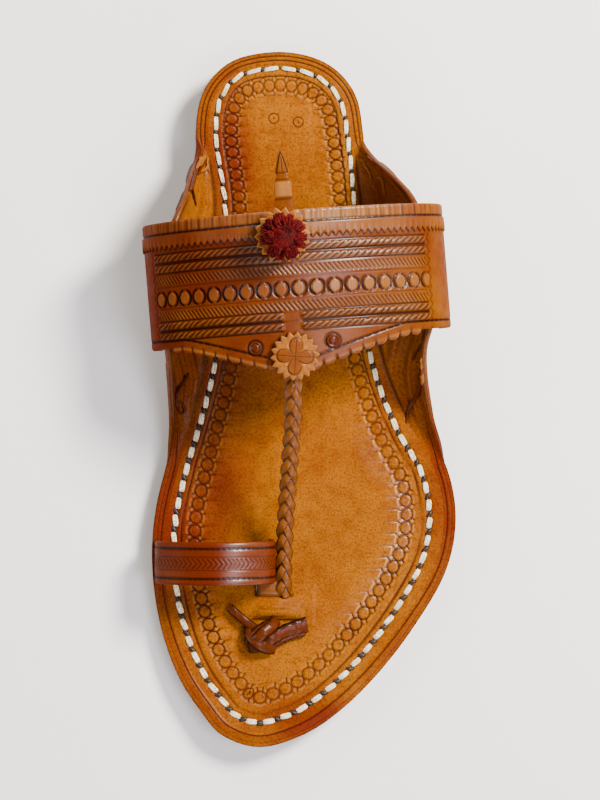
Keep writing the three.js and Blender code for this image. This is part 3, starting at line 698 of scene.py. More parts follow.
def thread(name, light, dark, rough):
    light, dark = colour(light), colour(dark)
    material, tree, shader = new_material(name)
    where = add(tree, "ShaderNodeTexCoord").outputs["Object"]
    twist = noise(tree, where, 0.7, 3.0)
    grime = noise(tree, where, 9, 2.0)
    tone = blend_colours(tree, ramp(tree, twist, 0.35, 0.65), dark, light)
    tone = blend_colours(tree, ramp(tree, grime, 0.5, 0.8), tone, dark)
    tree.links.new(tone, shader.inputs["Base Color"])
    relief(tree, shader, twist, 0.8, 0.15)
    shader.inputs["Roughness"].default_value = rough
    return material, shader


WHITE_THREAD, _ = thread("thread_waxed_cotton_white", "#FFFAE4", "#B8A874", 0.7)
BLACK_THREAD, _ = thread("thread_waxed_cotton_black", "#1C1408", "#0C0804", 0.5)
WOOL, wool_shader = thread("wool_dyed_red", "#6A0406", "#160101", 0.9)
wool_shader.inputs["Sheen Weight"].default_value = 0.15
wool_shader.inputs["Sheen Tint"].default_value = colour("#C02020")
wool_shader.inputs["Specular IOR Level"].default_value = 0.15

# %% [markdown]
# ## The top leather and its ears
#
# This is one hide, so it is one mesh. Each rung of the grid runs from the upper edge of one ear, down its
# inner face, over the fold, across the footbed and up the other ear, and comes back underneath. Columns are
# close together where there is tooling: two scored lines along the edge, the trough that the stitches lie
# in, one more scored line and a chain of round stamps. All of these are heights on the grid.

# %% Shape the ears
EAR_COLUMNS = 28
UNDER_COLUMNS = [0, 3, 6, 9, 13, 17, 21, 24, 27]


def ear_profile(side, along):
    """Outer face from the fold (0) to the upper edge (1) as distance out and height, for each station."""
    column = 1 if side == "medial" else 3
    height, reach = (np.maximum(0, smooth_table(EAR_SECTIONS, column + i, along))[:, None] for i in (0, 1))
    turned = step(height, 0, 8)
    f = np.linspace(0, 1, EAR_COLUMNS)[None, :]
    near, far, last = 3 * f * (1 - f) ** 2, 3 * f**2 * (1 - f), f**3
    out_near = RIM / 3 * (1 - turned) + (RIM + 0.3 * reach) * turned
    out_far = RIM * 2 / 3 * (1 - turned) + (RIM + 0.78 * reach) * turned
    out = near * out_near + far * out_far + last * (RIM + reach)
    up = near * 0.02 * height * turned + far * 0.45 * height * turned + last * height
    return out, up, height[:, 0]


def side_grid(side, along):
    """An ear's outer face, the direction to its inner face, the distance from its edge, and its height."""
    sign = -1 if side == "medial" else 1
    point, normal = edge(side, along)
    out, up, height = ear_profile(side, along)
    fold = point + normal * RIM
    z = footbed_under(along)[:, None]
    x = fold[:, None, 0] - normal[:, None, 0] * out
    y = fold[:, None, 1] - normal[:, None, 1] * out
    for i in np.nonzero(height > 4)[0]:
        limit = band_inner_limit(sign, z[i] + up[i], along[i])
        x[i] = np.where(up[i] > 4, sign * np.minimum(sign * x[i], limit), x[i])
    under = np.stack([x, y, z + up], -1)
    run = unit(np.gradient(under, axis=1))
    axis = np.stack([-normal[:, 1], normal[:, 0], np.zeros(len(along))], -1) * -sign
    face = np.cross(run, axis[:, None, :])
    face *= np.sign(face[:, :1, 2:3])
    spacing = np.linalg.norm(np.diff(under, axis=1), axis=2)
    from_edge = np.concatenate([np.cumsum(spacing[:, ::-1], 1)[:, ::-1], np.zeros((len(along), 1))], 1)
    return under, face, from_edge, height


# %% [markdown]
# The stamp is a small ring with a hooked barb on each side, struck again and again in a line. The strokes
# are 4.5 mm apart round the heel and 5.5 mm apart round the toes, adjusted so that a whole number fits
# along each side. The ears' inner faces are creased at the fold and wrinkled where they bend.

# %% Tool the footbed
STAMP_PITCH = np.array([(0, 4.5), (90, 4.5), (130, 4.9), (170, 5.5), (278, 5.5)])
STAMP_RADIUS = 2.35
STAMP_DRAWN_PITCH = 5.1
CHAIN_HALF = 4.0
STITCH_COLUMNS = 13
CHAIN_COLUMNS = 20
LADDER_COLUMNS = 12
FOOTBED_ROWS = 640
# How dark each ear's inner face is toned behind and before the band, partly dye and partly painted shade,
# and how strong the painted sheen on its wrinkle crests is.
EAR_DYE_AND_SHADE = {"medial": (0.1, 0.75), "lateral": (0.6, 0.45)}
EAR_CREST_SHEEN = {"medial": 0.5, "lateral": 0.7}
EAR_SEED = {"medial": 3, "lateral": 4}

# places painted darker, partly deeper dye and partly painted shade under and before the band and on the
# big-toe side: x, along, half width, half length, amount
TONE_SPOTS = (
    (-42, 170, 30, 62, 0.9), (-14, 128, 34, 24, 0.5), (-27, 44, 11, 44, 0.6), (2, 70, 30, 16, 0.3),
    (-10, 52, 24, 34, 0.4), (-36, 50, 16, 30, 0.1), (34, 60, 10, 60, 0.3), (58, 190, 12, 60, 0.4),
    (-36, 246, 20, 34, 0.4), (4, 266, 34, 12, 0.25), (-52, 205, 12, 40, 0.4), (12, 24, 8, 10, 0.2),
    (36, 128, 10, 30, 0.5), (-14, 216, 16, 10, 0.35), (-8, 262, 30, 16, 0.25),
)


def tone_of_dye_and_shade(x, along):
    """0 where the leather is golden, about 1 where it is painted a deep brown, partly dye and partly shade.
    """
    tone = np.zeros(np.broadcast(x, along).shape)
    for centre_x, centre_along, half_x, half_along, amount in TONE_SPOTS:
        far = np.hypot((x - centre_x) / half_x, (along - centre_along) / half_along)
        tone = tone + amount * step(far, 1.15, 0.25)
    return tone


def chain_stamps(local, pitch, offset, firm):
    """Height, press and painted highlight of one stamp: a ring with a hooked barb on each side, one behind,
    one before.
    """
    local = local * STAMP_DRAWN_PITCH / pitch
    radius = np.hypot(local, offset)
    ring = bump(radius - STAMP_RADIUS, 0.52)
    beside = np.abs(offset)
    longest = np.where(offset > 0, 4.3, 3.7)
    behind = local * np.where(offset > 0, 1, -1)
    apart = 1.35 + 0.5 * (beside - 1.9)
    barb = bump(behind + apart, 0.55) * step(beside, longest, longest - 0.6)
    short = bump(behind - apart, 0.5) * step(beside, 3.3, 2.8)
    groove = np.maximum(ring, np.maximum(barb, 0.8 * short) * step(beside, 1.2, 1.8))
    swell = bump(local + 0.3, 2.2) * bump(offset - 3.6, 1.1)
    # A painted highlight inside the ring on its outer side and round the ring's outside.
    lit = 0.5 * bump(radius - 1.6, 0.5) * step(-offset, 0.4, 1.4)
    lit = lit + bump(radius - 3.3, 0.6) * step(beside, 0.8, 2.2)
    press_and_shade = firm * np.minimum(1, 1.3 * groove)
    return firm * (-0.6 * groove + 0.3 * swell), press_and_shade, lit * (1 - np.minimum(1, groove))


def tooled_zone(side, along, inset):
    """Points of the flat part near the edge and what the tools did there."""
    point, normal = edge(side, along)
    stitch, chain = (smooth_table(LINE_SECTIONS, i, along)[:, None] for i in LINE_COLUMNS[side])
    path = point + normal * chain
    pitch = np.interp(along, STAMP_PITCH[:, 0], STAMP_PITCH[:, 1])
    run = np.linalg.norm(np.diff(path, axis=0), axis=1)
    count = np.concatenate([[0], np.cumsum(run / pitch[1:])])
    count *= round(count[-1]) / count[-1]
    local = ((count + 0.5) % 1 - 0.5) * pitch
    firm = 0.85 + 0.3 * wobble(count * 0.37, seed=14)
    place_2d = point[:, None] + normal[:, None] * inset[..., None]
    stamp, stamp_press, lit = chain_stamps(local[:, None], pitch[:, None], inset - chain, firm[:, None])
    trough = bump(inset - stitch, 1.5)
    line = bump(inset - stitch - 3.0, 0.6)
    cut = bump(inset - stitch, 0.45)
    height = stamp - 0.5 * trough - 0.34 * line
    # The stitch trough is darkened partly as a tool mark and partly as painted shade beside the stitches.
    press_and_shade = np.maximum.reduce([stamp_press, 0.45 * trough, line, 0.9 * cut])
    return place_2d, height, press_and_shade, lit


def ear_tooling(side, along, ear, from_edge):
    """Height, darkening, pale marks and tone on an ear's inner face, and how much it is an ear at each
    station.
    """
    at, f = along[:, None], np.linspace(0, 1, EAR_COLUMNS)[None, :]
    strength = step(ear, 3, 14)[:, None]
    front = step(at, 90, 110)
    sweep = np.where(at > 90, f * 2.6 + (at - 105) * 0.035, f * 2.2 - (at - 60) * 0.02)
    bend = wobble(at * 0.11, f * 2.5, seed=EAR_SEED[side])

    def wrinkles(often, waviness, offset, sharpness):
        return (1 - np.abs(np.sin(math.pi * (sweep * often + waviness * bend + offset)))) ** sharpness

    furrow, fine, crest = wrinkles(1, 0.5, 0, 2.2), wrinkles(2.7, 1.1, 0.3, 3), wrinkles(1.9, 0.9, 0.55, 5)
    second = bump(from_edge - 1.7, 0.45) * (0.35 + 0.65 * step(at, 150, 60))
    scored = np.maximum(bump(from_edge - 3.4 - 1.0 * step(at, 200, 262), 0.5), second)
    crease = bump(f - 0.07, 0.08) * strength
    deep = strength * step(f, 0.08, 0.2) * step(from_edge, 2.2, 4.5) * (0.55 + 0.45 * front)
    height = -0.34 * scored - 0.5 * crease - deep * (0.6 * furrow + 0.45 * fine)
    # Scored lines are dark tool marks; the fold crease and the furrows are darkened partly as painted shade,
    # and the crests get a painted sheen.
    dark = [0.9 * scored, 0.85 * crease, deep * furrow * 0.42, deep * fine * 0.5, bump(from_edge, 0.7) * 0.7]
    wear_and_highlight = deep * crest * (1 - furrow) * EAR_CREST_SHEEN[side]
    # The little-toe ear behind the band and both ears before it are toned darker: painted shade over the
    # dye.
    behind, before = EAR_DYE_AND_SHADE[side]
    dye_and_shade = strength * (behind + (before - behind) * front) * step(f, 0.0, 0.2) * step(at, 158, 140)
    return height, np.maximum.reduce(dark), wear_and_highlight, dye_and_shade, strength


def footbed():
    along = stations(FOOTBED_ROWS)
    halves = {}
    for side, (_, column) in LINE_COLUMNS.items():
        chain = smooth_table(LINE_SECTIONS, column, along)[:, None]
        near = RIM + (chain - CHAIN_HALF - RIM) * np.linspace(0, 1, STITCH_COLUMNS)[None, :]
        far = chain - CHAIN_HALF + 2 * CHAIN_HALF * np.linspace(0, 1, CHAIN_COLUMNS)[None, 1:]
        flat, height, press_and_shade, lit = tooled_zone(side, along, np.concatenate([near, far], 1))
        flat_z = footbed_top(flat[..., 0], flat[..., 1]) + height
        under, face, from_edge, ear = side_grid(side, along)
        lift, ear_press_and_shade, ear_crest_sheen, ear_tone, strength = ear_tooling(side, along, ear, from_edge)
        ear_top = under + face * (FOOTBED_THICKNESS + lift)[..., None]
        rim_tone = 0.3 * step(from_edge, 9, 4)
        ear_tone = ear_tone + (tone_of_dye_and_shade(under[..., 0], under[..., 1]) + rim_tone) * (1 - strength)
        halves[side] = (flat, flat_z, (press_and_shade, lit), under, ear_top, (ear_press_and_shade, ear_crest_sheen), ear_tone)

    def row(side):
        flat, flat_z, marks, _, ear_top, ear_marks, ear_tone = halves[side]
        flat_points = np.concatenate([flat, flat_z[..., None]], -1)
        points = np.concatenate([ear_top[:, :0:-1], flat_points], 1)
        pairs = [*zip(ear_marks, marks), (ear_tone, tone_of_dye_and_shade(flat[..., 0], flat[..., 1]))]
        return points, *(np.concatenate([ear[:, :0:-1], inner], 1) for ear, inner in pairs)

    medial, medial_press_and_shade, medial_highlight, medial_tone = row("medial")
    lateral, lateral_press_and_shade, lateral_highlight, lateral_tone = row("lateral")
    middle = (medial[:, -1:, 0] + lateral[:, -1:, 0]) / 2
    crossed = medial[:, -1:, 0] > lateral[:, -1:, 0]
    medial[..., 0] = np.where(crossed, np.minimum(medial[..., 0], middle), medial[..., 0])
    lateral[..., 0] = np.where(crossed, np.maximum(lateral[..., 0], middle), lateral[..., 0])
    f = np.linspace(0, 1, LADDER_COLUMNS + 2)[1:-1][None, :, None]
    across = medial[:, -1:, :2] * (1 - f) + lateral[:, -1:, :2] * f
    uneven = 0.12 * wobble(across[..., 0] * 0.12, across[..., 1] * 0.1, seed=5)
    across_z = footbed_top(across[..., 0], across[..., 1]) + uneven
    across = np.concatenate([across, across_z[..., None]], -1)
    under_medial, under_lateral = (halves[side][3][:, UNDER_COLUMNS] for side in ("medial", "lateral"))
    ring = np.concatenate([medial, across, lateral[:, ::-1], under_lateral[:, ::-1], under_medial], 1)
    blank = np.zeros((len(along), 2 * len(UNDER_COLUMNS)))
    plain = np.zeros(across.shape[:2])
    # The underside on the sole is darkened and toned as painted shade.
    press_and_shade = np.concatenate([medial_press_and_shade, plain, lateral_press_and_shade[:, ::-1], blank + 0.35], 1)
    wear_and_highlight = np.concatenate([medial_highlight, plain, lateral_highlight[:, ::-1], blank], 1)
    across_tone = tone_of_dye_and_shade(across[..., 0], across[..., 1])
    tone = np.concatenate([medial_tone, across_tone, lateral_tone[:, ::-1], blank + 0.6], 1)
    points = place(ring[..., 0], ring[..., 1], ring[..., 2])
    in_from_edge = edge("lateral", along)[0][:, :1] - ring[..., 0]
    # On the little-toe side of the ball the stamps get more coat and a stronger painted highlight.
    highlighted_zone = bump(in_from_edge - 21, 7) * step(ring[..., 1], 140, 165) * step(ring[..., 1], 242, 222)
    on_ears = step(ring[..., 2] - footbed_under(ring[..., 1]), 5, 12)
    wax = 0.7 * highlighted_zone + 0.25 * on_ears
    marks = {"press_and_shade": press_and_shade, "wear_and_highlight": wear_and_highlight * (0.4 + 0.9 * highlighted_zone), "tone": tone, "wax": wax}
    return rings_object("footbed_leather_with_ears", points, marks, caps=False)


finish_mesh(footbed(), FOOTBED_LEATHER, "footbed_leather", "footbed_with_ears")

# %% [markdown]
# Between the two slits near the toes the leather is pushed up into a small bridge, under which the knotted
# ends pass. It needs finer points than the rest, so it is a patch that rises out of the footbed round its
# border and lies just above it. The two little ring stamps on the heel are plain ornament, made likewise.

# %% Raise the bridge and stamp the heel
BRIDGE = {"x": -11.0, "along": 222.0, "half_x": 11.0, "half_along": 4.2, "height": 2.3}
SLITS = ((-18.6, -3.2, 217.4, 0.6), (-20.0, 1.5, 227.2, 0.6))
HEEL_STAMPS = ((-11.2, 26.6), (-1.4, 28.0))
PATCH_SUNK = 0.15
PATCH_DEPTH = 0.4


def fine_patch(name, x_range, along_range, spacing, relief, lift, fade):
    """A fine piece of the walking surface: it rises out of it round the border and lies just above it."""
    columns = np.arange(x_range[0], x_range[1] + spacing, spacing)
    rows = np.arange(along_range[0], along_range[1] + spacing, spacing)
    x, along = np.meshgrid(columns, rows)
    height, press_and_shade = relief(x, along)
    inset = np.minimum.reduce([x - columns[0], columns[-1] - x, along - rows[0], rows[-1] - along])
    surface = footbed_top(x, along)
    z = surface + height - PATCH_SUNK + (lift + PATCH_SUNK) * step(inset, 0, fade)
    low = surface - PATCH_DEPTH
    ring = np.concatenate([place(x, along, z), place(x[:, ::-1], along[:, ::-1], low[:, ::-1])], 1)
    none = np.zeros(x.shape)
    marks = {
        "press_and_shade": np.concatenate([press_and_shade, none], 1),
        "tone": np.concatenate([tone_of_dye_and_shade(x, along), none], 1),
    }
    return rings_object(name, ring, marks)


def bridge_relief(x, along):
    b = BRIDGE
    across, run = (x - b["x"]) / b["half_x"], (along - b["along"]) / b["half_along"]
    hump = b["height"] * np.sqrt(np.clip(1 - run**2, 0, 1)) * bump(across, 1.25)
    slit = np.zeros(x.shape)
    for low, high, at, half in SLITS:
        inside = step(x, low - 1, low + 1) * step(x, high + 1, high - 1)
        slit = np.maximum(slit, bump(along - at - 0.02 * (x + 10), half + 0.45) * inside)
    crease = bump(run - 0.25 - 0.1 * across, 0.22) * bump(across, 0.9)
    # The slits are darkened as painted shade inside the cuts, and the crease a little.
    return hump * (1 - 0.12 * crease) * (1 - 0.8 * slit) - 0.2 * slit, np.maximum(slit, 0.25 * crease)


def heel_relief(x, along):
    height, press_and_shade = np.zeros(x.shape), np.zeros(x.shape)
    for stamp_x, stamp_along in HEEL_STAMPS:
        radius = np.hypot(x - stamp_x, along - stamp_along)
        ring = np.maximum(bump(radius - 2.0, 0.5), bump(radius, 0.7))
        height, press_and_shade = height - 0.25 * ring, np.maximum(press_and_shade, 0.9 * ring)
    return height, press_and_shade


finish_mesh(fine_patch("bridge_between_slits", (-27, 7), (212.0, 231.2), 0.4, bridge_relief, 0.35, 2.4),
            FOOTBED_LEATHER, "footbed_leather")
finish_mesh(fine_patch("heel_ring_stamps", (-18, 5), (20.5, 34.5), 0.3, heel_relief, 0.4, 3.5),
            FOOTBED_LEATHER, "footbed_leather")

# %% [markdown]
# ## The sole
#
# The sole is thick leather with a low heel. From above only its edge could show, so it is plain: a slightly
# rounded edge with the fine lines of the layers that it is pressed from, and a flat underside.

# %% Make the sole
LAYER_PITCH = 1.6


def sole():
    at_heel = HEEL_BREAST + np.array([-0.05, 0, 0.6])
    along = np.sort(np.concatenate([stations(300), at_heel]))
    top = sheet_bottom(along) + SOLE_THICKNESS
    bottom = np.where(along <= HEEL_BREAST, 0, sheet_bottom(along))
    levels = np.linspace(0, 1, 15)
    sides = {}
    for side in ("medial", "lateral"):
        point, normal = edge(side, along)
        z = top[:, None] + (bottom - top)[:, None] * levels[None, :]
        rounded = 0.7 * (np.abs(2 * levels - 1) ** 6)[None, :]
        layer = 0.1 * (0.5 + 0.5 * np.cos((top[:, None] - z) * 2 * math.pi / LAYER_PITCH))
        inset = rounded + layer
        xy = point[:, None] + normal[:, None] * inset[..., None]
        sides[side] = (np.concatenate([xy, z[..., None]], -1), 0.25 + 4.0 * layer)
    (medial, medial_press_and_shade), (lateral, lateral_press_and_shade) = sides["medial"], sides["lateral"]
    ring = np.concatenate([medial, lateral[:, ::-1]], 1)
    press_and_shade = np.concatenate([medial_press_and_shade, lateral_press_and_shade[:, ::-1]], 1)
    points = place(ring[..., 0], ring[..., 1], ring[..., 2])
    return rings_object("sole_leather", points, {"press_and_shade": press_and_shade}, caps=False)


finish_mesh(sole(), SOLE_LEATHER, "sole_leather", "outsole")

# %% [markdown]
# ## Rim stitches
#
# Each white stitch is a doubled thread that lies in the trough, a little skewed, and a black thread crosses
# the gap before the next one. The stitches are longer and thinner round the heel. They are many and alike,
# so each colour is one mesh made from an array of tubes.

# %% Sew the rim
STITCH_PITCH = 7.1
STITCH_LENGTH = {"heel": 6.0, "front": 4.9}
STRAND_RADIUS = {"heel": 0.42, "front": 0.54}
CROSSING_LENGTH = {"heel": 2.2, "front": 3.6}
CROSSING_RADIUS = {"heel": 0.45, "front": 0.6}
STITCH_SKEW = 0.1
CROSSING_SLANT = 0.85


def on_footbed(side, along, inset):
    point, normal = edge(side, along)
    flat = point + normal * np.asarray(inset)[..., None]
    return np.concatenate([flat, footbed_top(flat[..., 0], flat[..., 1])[..., None]], -1)


def stitch_places():
    """Middle and direction of each stitch on both sides."""
    made = []
    for side in ("medial", "lateral"):
        along = stations(3000)
        path = on_footbed(side, along, smooth_table(LINE_SECTIONS, LINE_COLUMNS[side][0], along))
        path = place(path[:, 0], path[:, 1], path[:, 2])
        length = run_length(path)
        count = round(length[-1] / STITCH_PITCH)
        centres = (np.arange(count) + 0.5) * length[-1] / count
        ends = [np.stack([np.interp(centres + d, length, path[:, i]) for i in range(3)], 1) for d in (-1, 1)]
        made += list(zip((ends[0] + ends[1]) / 2, (ends[1] - ends[0]) / 2, [side] * count))
    return made


def float_rings(centre, direction, length, radius, lift, aside=0.0, around=8, rings=9):
    """A plump thread float: blunt ends, flattened below, sunk at both ends; aside moves it sideways."""
    up = np.array([0, 0, 1.0])
    direction = unit(direction)
    across = np.cross(up, direction)
    f = np.sin(np.linspace(-1, 1, rings) * math.pi / 2)
    size = radius * (1 - np.abs(f) ** 7) ** 0.5 + 0.05
    angle = np.linspace(0, 2 * math.pi, around, endpoint=False)
    spine = centre + np.outer(f * length / 2, direction) + np.outer(lift * (1 - f**2) - 0.3, up)
    spine = spine + (aside * (1 - 0.25 * f**2))[:, None] * across
    return spine[:, None] + size[:, None, None] * circle(angle[None, :], across, 0.85 * up)


stitches, crossings = [], []
rng = np.random.default_rng(11)
for centre, direction, side in stitch_places():
    forward = float(step(SOLE_LENGTH / 2 - centre[1], 60, 150))
    length, radius, cross_length, cross_radius = (
        size["heel"] + (size["front"] - size["heel"]) * forward
        for size in (STITCH_LENGTH, STRAND_RADIUS, CROSSING_LENGTH, CROSSING_RADIUS)
    )
    turn = 1 if side == "medial" else -1
    skewed = turned_by(direction, rng.normal(0, 0.05) + STITCH_SKEW * turn)
    length *= rng.uniform(0.92, 1.06)
    for aside in (-0.95 * radius, 0.95 * radius):
        stitches.append(float_rings(centre, skewed, length, radius * rng.uniform(0.92, 1.1), 0.65, aside))
    gap = centre + unit(direction) * STITCH_PITCH / 2
    over = turned_by(direction, CROSSING_SLANT * turn)
    crossings.append(float_rings(gap, over, cross_length, cross_radius, 0.5, rings=7))
finish_mesh(many_tubes("rim_stitches_white", stitches), WHITE_THREAD, "footbed_leather")
finish_mesh(many_tubes("rim_stitches_black", crossings), BLACK_THREAD, "footbed_leather")

# %% [markdown]
# ## The instep band
#
# The band is a strip tooled flat and then bent. For each column along the strip a ring of points goes over
# the outer face, round the scalloped front edge, back along the lining side and round the back edge. The
# tooling is again a height: from the heel side there is a plain fluted strip, a stitched line, a pinked
# strip, two twisted cords, slanted strokes, a row of discs between crescents, strokes, and two more cords.

# %% Tool the band
STUDS = ((-15.2, 22.4), (15.0, 21.8))
ROWS_END = {"medial": -61.2, "lateral": 59.0}
CENTRE_GAP = 3.6
DISC_PITCH = 6.9
DISC_V = 0.8
CORDS_V = (-15.0, -11.0, 11.2, 15.2)
HATCH_V = (-6.5, 7.4)
PINK_PITCH = 2.9
SEAM_BACK_V = -24.4
PINK_TIP_V = -18.4
PINK_VALLEY_V = -20.3
FINE_LINES_V = (-12.95, -8.9, -3.9, 4.6, 9.6, 13.2)


def past_rows(s):
    """Distance beyond the end of the tooled rows, negative inside them."""
    return np.maximum(s - ROWS_END["lateral"], ROWS_END["medial"] - s)


def cord_row(s, v, centre):
    """A twisted cord: a raised rope with slanted strands and a dark groove on both sides."""
    across = v - centre
    body = np.sqrt(np.clip(1 - (across / 1.35) ** 2, 0, 1))
    uneven = 0.25 * wobble(s * 0.5, seed=int(centre) + 40)
    strand = 0.5 + 0.5 * np.cos(2 * math.pi * (s / 2.9 + across * 0.5 + uneven))
    gap = step(np.abs(s), CENTRE_GAP - 0.6, CENTRE_GAP + 0.6) * step(past_rows(s), 0.5, -0.5)
    groove = bump(np.abs(across) - 1.7, 0.62)
    height = (0.85 * body * (0.45 + 0.55 * strand) - 0.3 * groove) * gap
    press_and_shade = np.maximum(groove, body * (1 - strand) ** 1.2) * gap
    return height, press_and_shade, 0.75 * body * strand * gap


def hatch_row(s, v, centre, half=1.7):
    """Short slanted strokes pressed side by side."""
    across = (v - centre) / half
    stroke = bump(((s - 0.75 * (v - centre)) / 1.85 + 0.5) % 1 - 0.5, 0.32)
    inside = step(np.abs(across), 1.05, 0.85) * step(past_rows(s), 0.5, -0.5)
    return -0.5 * stroke * inside, stroke * inside, 0.35 * (1 - stroke) * inside


def disc_row(s, v):
    """Round discs standing between two crescents punched beside each of them."""
    local = (s % DISC_PITCH) - DISC_PITCH / 2
    across = v - DISC_V
    radius, angle = np.hypot(local, across * 0.94), np.abs(np.arctan2(across, local))
    angle = np.minimum(angle, math.pi - angle)
    inside = step(past_rows(s), 1.5, 0.5)
    crescent = bump(radius - 2.8, 0.35 + 0.55 * np.cos(angle)) * step(angle, 1.45, 1.2) * inside
    disc = step(radius, 2.45, 2.05) * inside
    nick = bump(local, 0.35) * bump(np.abs(across) - 2.9, 0.8) * inside
    fibre = 0.75 + 0.25 * np.cos(2 * math.pi * local / 1.1)
    dark = np.minimum(1, np.maximum(1.2 * crescent, 0.6 * nick))
    # The discs are painted pale, partly wear and partly painted sheen.
    uneven_wear_and_sheen = 0.75 + 0.25 * wobble(s * 0.35, seed=31)
    return -0.85 * crescent + 0.4 * disc - 0.1 * nick, dark, 0.9 * disc * fibre * uneven_wear_and_sheen


def seam(s, across, pitch=3.1):
    """A stitched line: a narrow trough with dark floats in it."""
    trough = bump(across, 0.9)
    dash = step(np.abs((s / pitch) % 1 - 0.5), 0.46, 0.36)
    return -0.36 * trough + 0.22 * bump(across, 0.5) * dash, np.minimum(1, trough * (0.7 + 0.5 * dash))


def band_tooling(s, v):
    """Height, darkening and pale marks over the whole band; the pale marks are wear and painted highlight.
    """
    height, press_and_shade, wear_and_highlight = np.zeros_like(s), np.zeros_like(s), np.zeros_like(s)

    def lay(h, p, r=0.0):
        nonlocal height, press_and_shade, wear_and_highlight
        height, press_and_shade, wear_and_highlight = height + h, np.maximum(press_and_shade, p), np.maximum(wear_and_highlight, r)

    for centre in CORDS_V:
        lay(*cord_row(s, v, centre))
    for centre in HATCH_V:
        lay(*hatch_row(s, v, centre))
    lay(*disc_row(s, v))
    lay(*seam(s, v - SEAM_BACK_V))
    lay(*seam(s, v - band_front_edge(s) + 3.2))
    for stud_s, stud_v in STUDS:
        ring = bump(np.hypot(s - stud_s, v - stud_v) - 2.9, 0.8)
        lay(-0.35 * ring, 0.95 * ring)
    tooth = np.abs((s / PINK_PITCH) % 1 - 0.5) * 2
    edge_v = PINK_TIP_V + (PINK_VALLEY_V - PINK_TIP_V) * tooth
    on_strip = step(v, edge_v + 0.3, edge_v - 0.1) * step(v, SEAM_BACK_V, SEAM_BACK_V + 0.5)
    below = bump(v - edge_v - 0.45, 0.8) * step(v, PINK_VALLEY_V - 0.5, PINK_VALLEY_V)
    flute = np.cos(2 * math.pi * s / PINK_PITCH)
    lay(0.5 * on_strip - 0.14 * on_strip * flute * step(v, -24, -20), below * (1 - on_strip), 0.3 * on_strip)
    # Wrinkles on the plain back strip: painted shade in the troughs, painted highlight on the crests.
    back = step(v, SEAM_BACK_V + 0.2, SEAM_BACK_V - 0.6)
    wrinkle = wobble(s * 1.6, s * 0.7 + v * 0.2, seed=8)
    lay(0.22 * wrinkle * back, 0.6 * np.clip(-wrinkle, 0, 1) * back, (0.5 + 0.5 * wrinkle) * back)
    # The lobes of the front edge get a painted highlight on their rims and painted shade between them.
    lobe_rim = bump(v - band_front_edge(s) - 0.4, 1.1) * (np.abs(s) < SCALLOPED_HALF)
    between = bump((s / SCALLOP_PITCH + 0.5) % 1 - 0.5, 0.16) * step(v - band_front_edge(s), -1.6, -0.4)
    lay(-0.25 * between, 0.7 * between * (np.abs(s) < SCALLOPED_HALF), 0.8 * lobe_rim)
    end = past_rows(s) - 1.6
    in_rows = step(v, -18, -17) * step(v, 17.4, 16.8)
    curl = bump(end - 0.7 * np.cos(2 * math.pi * v / 3.4), 0.55) * in_rows
    lay(-0.3 * curl, 0.7 * curl)
    for centre in FINE_LINES_V:
        line = bump(v - centre, 0.4) * step(past_rows(s), 0, -1)
        lay(-0.15 * line, 0.6 * line)
    lay(0.1 * wobble(s * 0.09, v * 0.12, seed=2), 0.0)
    # Raised places are painted a little pale everywhere as wear, and most in a painted sheen over the crown
    # towards the little-toe side.
    wear_and_sheen = 0.34 + 0.42 * step(s, -18, 4) * step(s, 52, 30) * step(v, 12, -4)
    wear_and_sheen = wear_and_sheen + 0.25 * wobble(s * 0.16, v * 0.2, seed=9)
    return height, press_and_shade, wear_and_highlight * wear_and_sheen


def scallop(s):
    """Half-round lobes along the middle of the front edge; the ends are cut straight."""
    f = (s / SCALLOP_PITCH) % 1
    lobe = SCALLOP_DEPTH * np.sqrt(np.clip(1 - (2 * f - 1) ** 2, 0.0, 1))
    return lobe * (np.abs(s) < SCALLOPED_HALF)


BAND_COLUMNS = 451
BAND_ROWS = 116
BAND_FRONT_ROWS = 34
FRONT_ZONE_V = 17.0


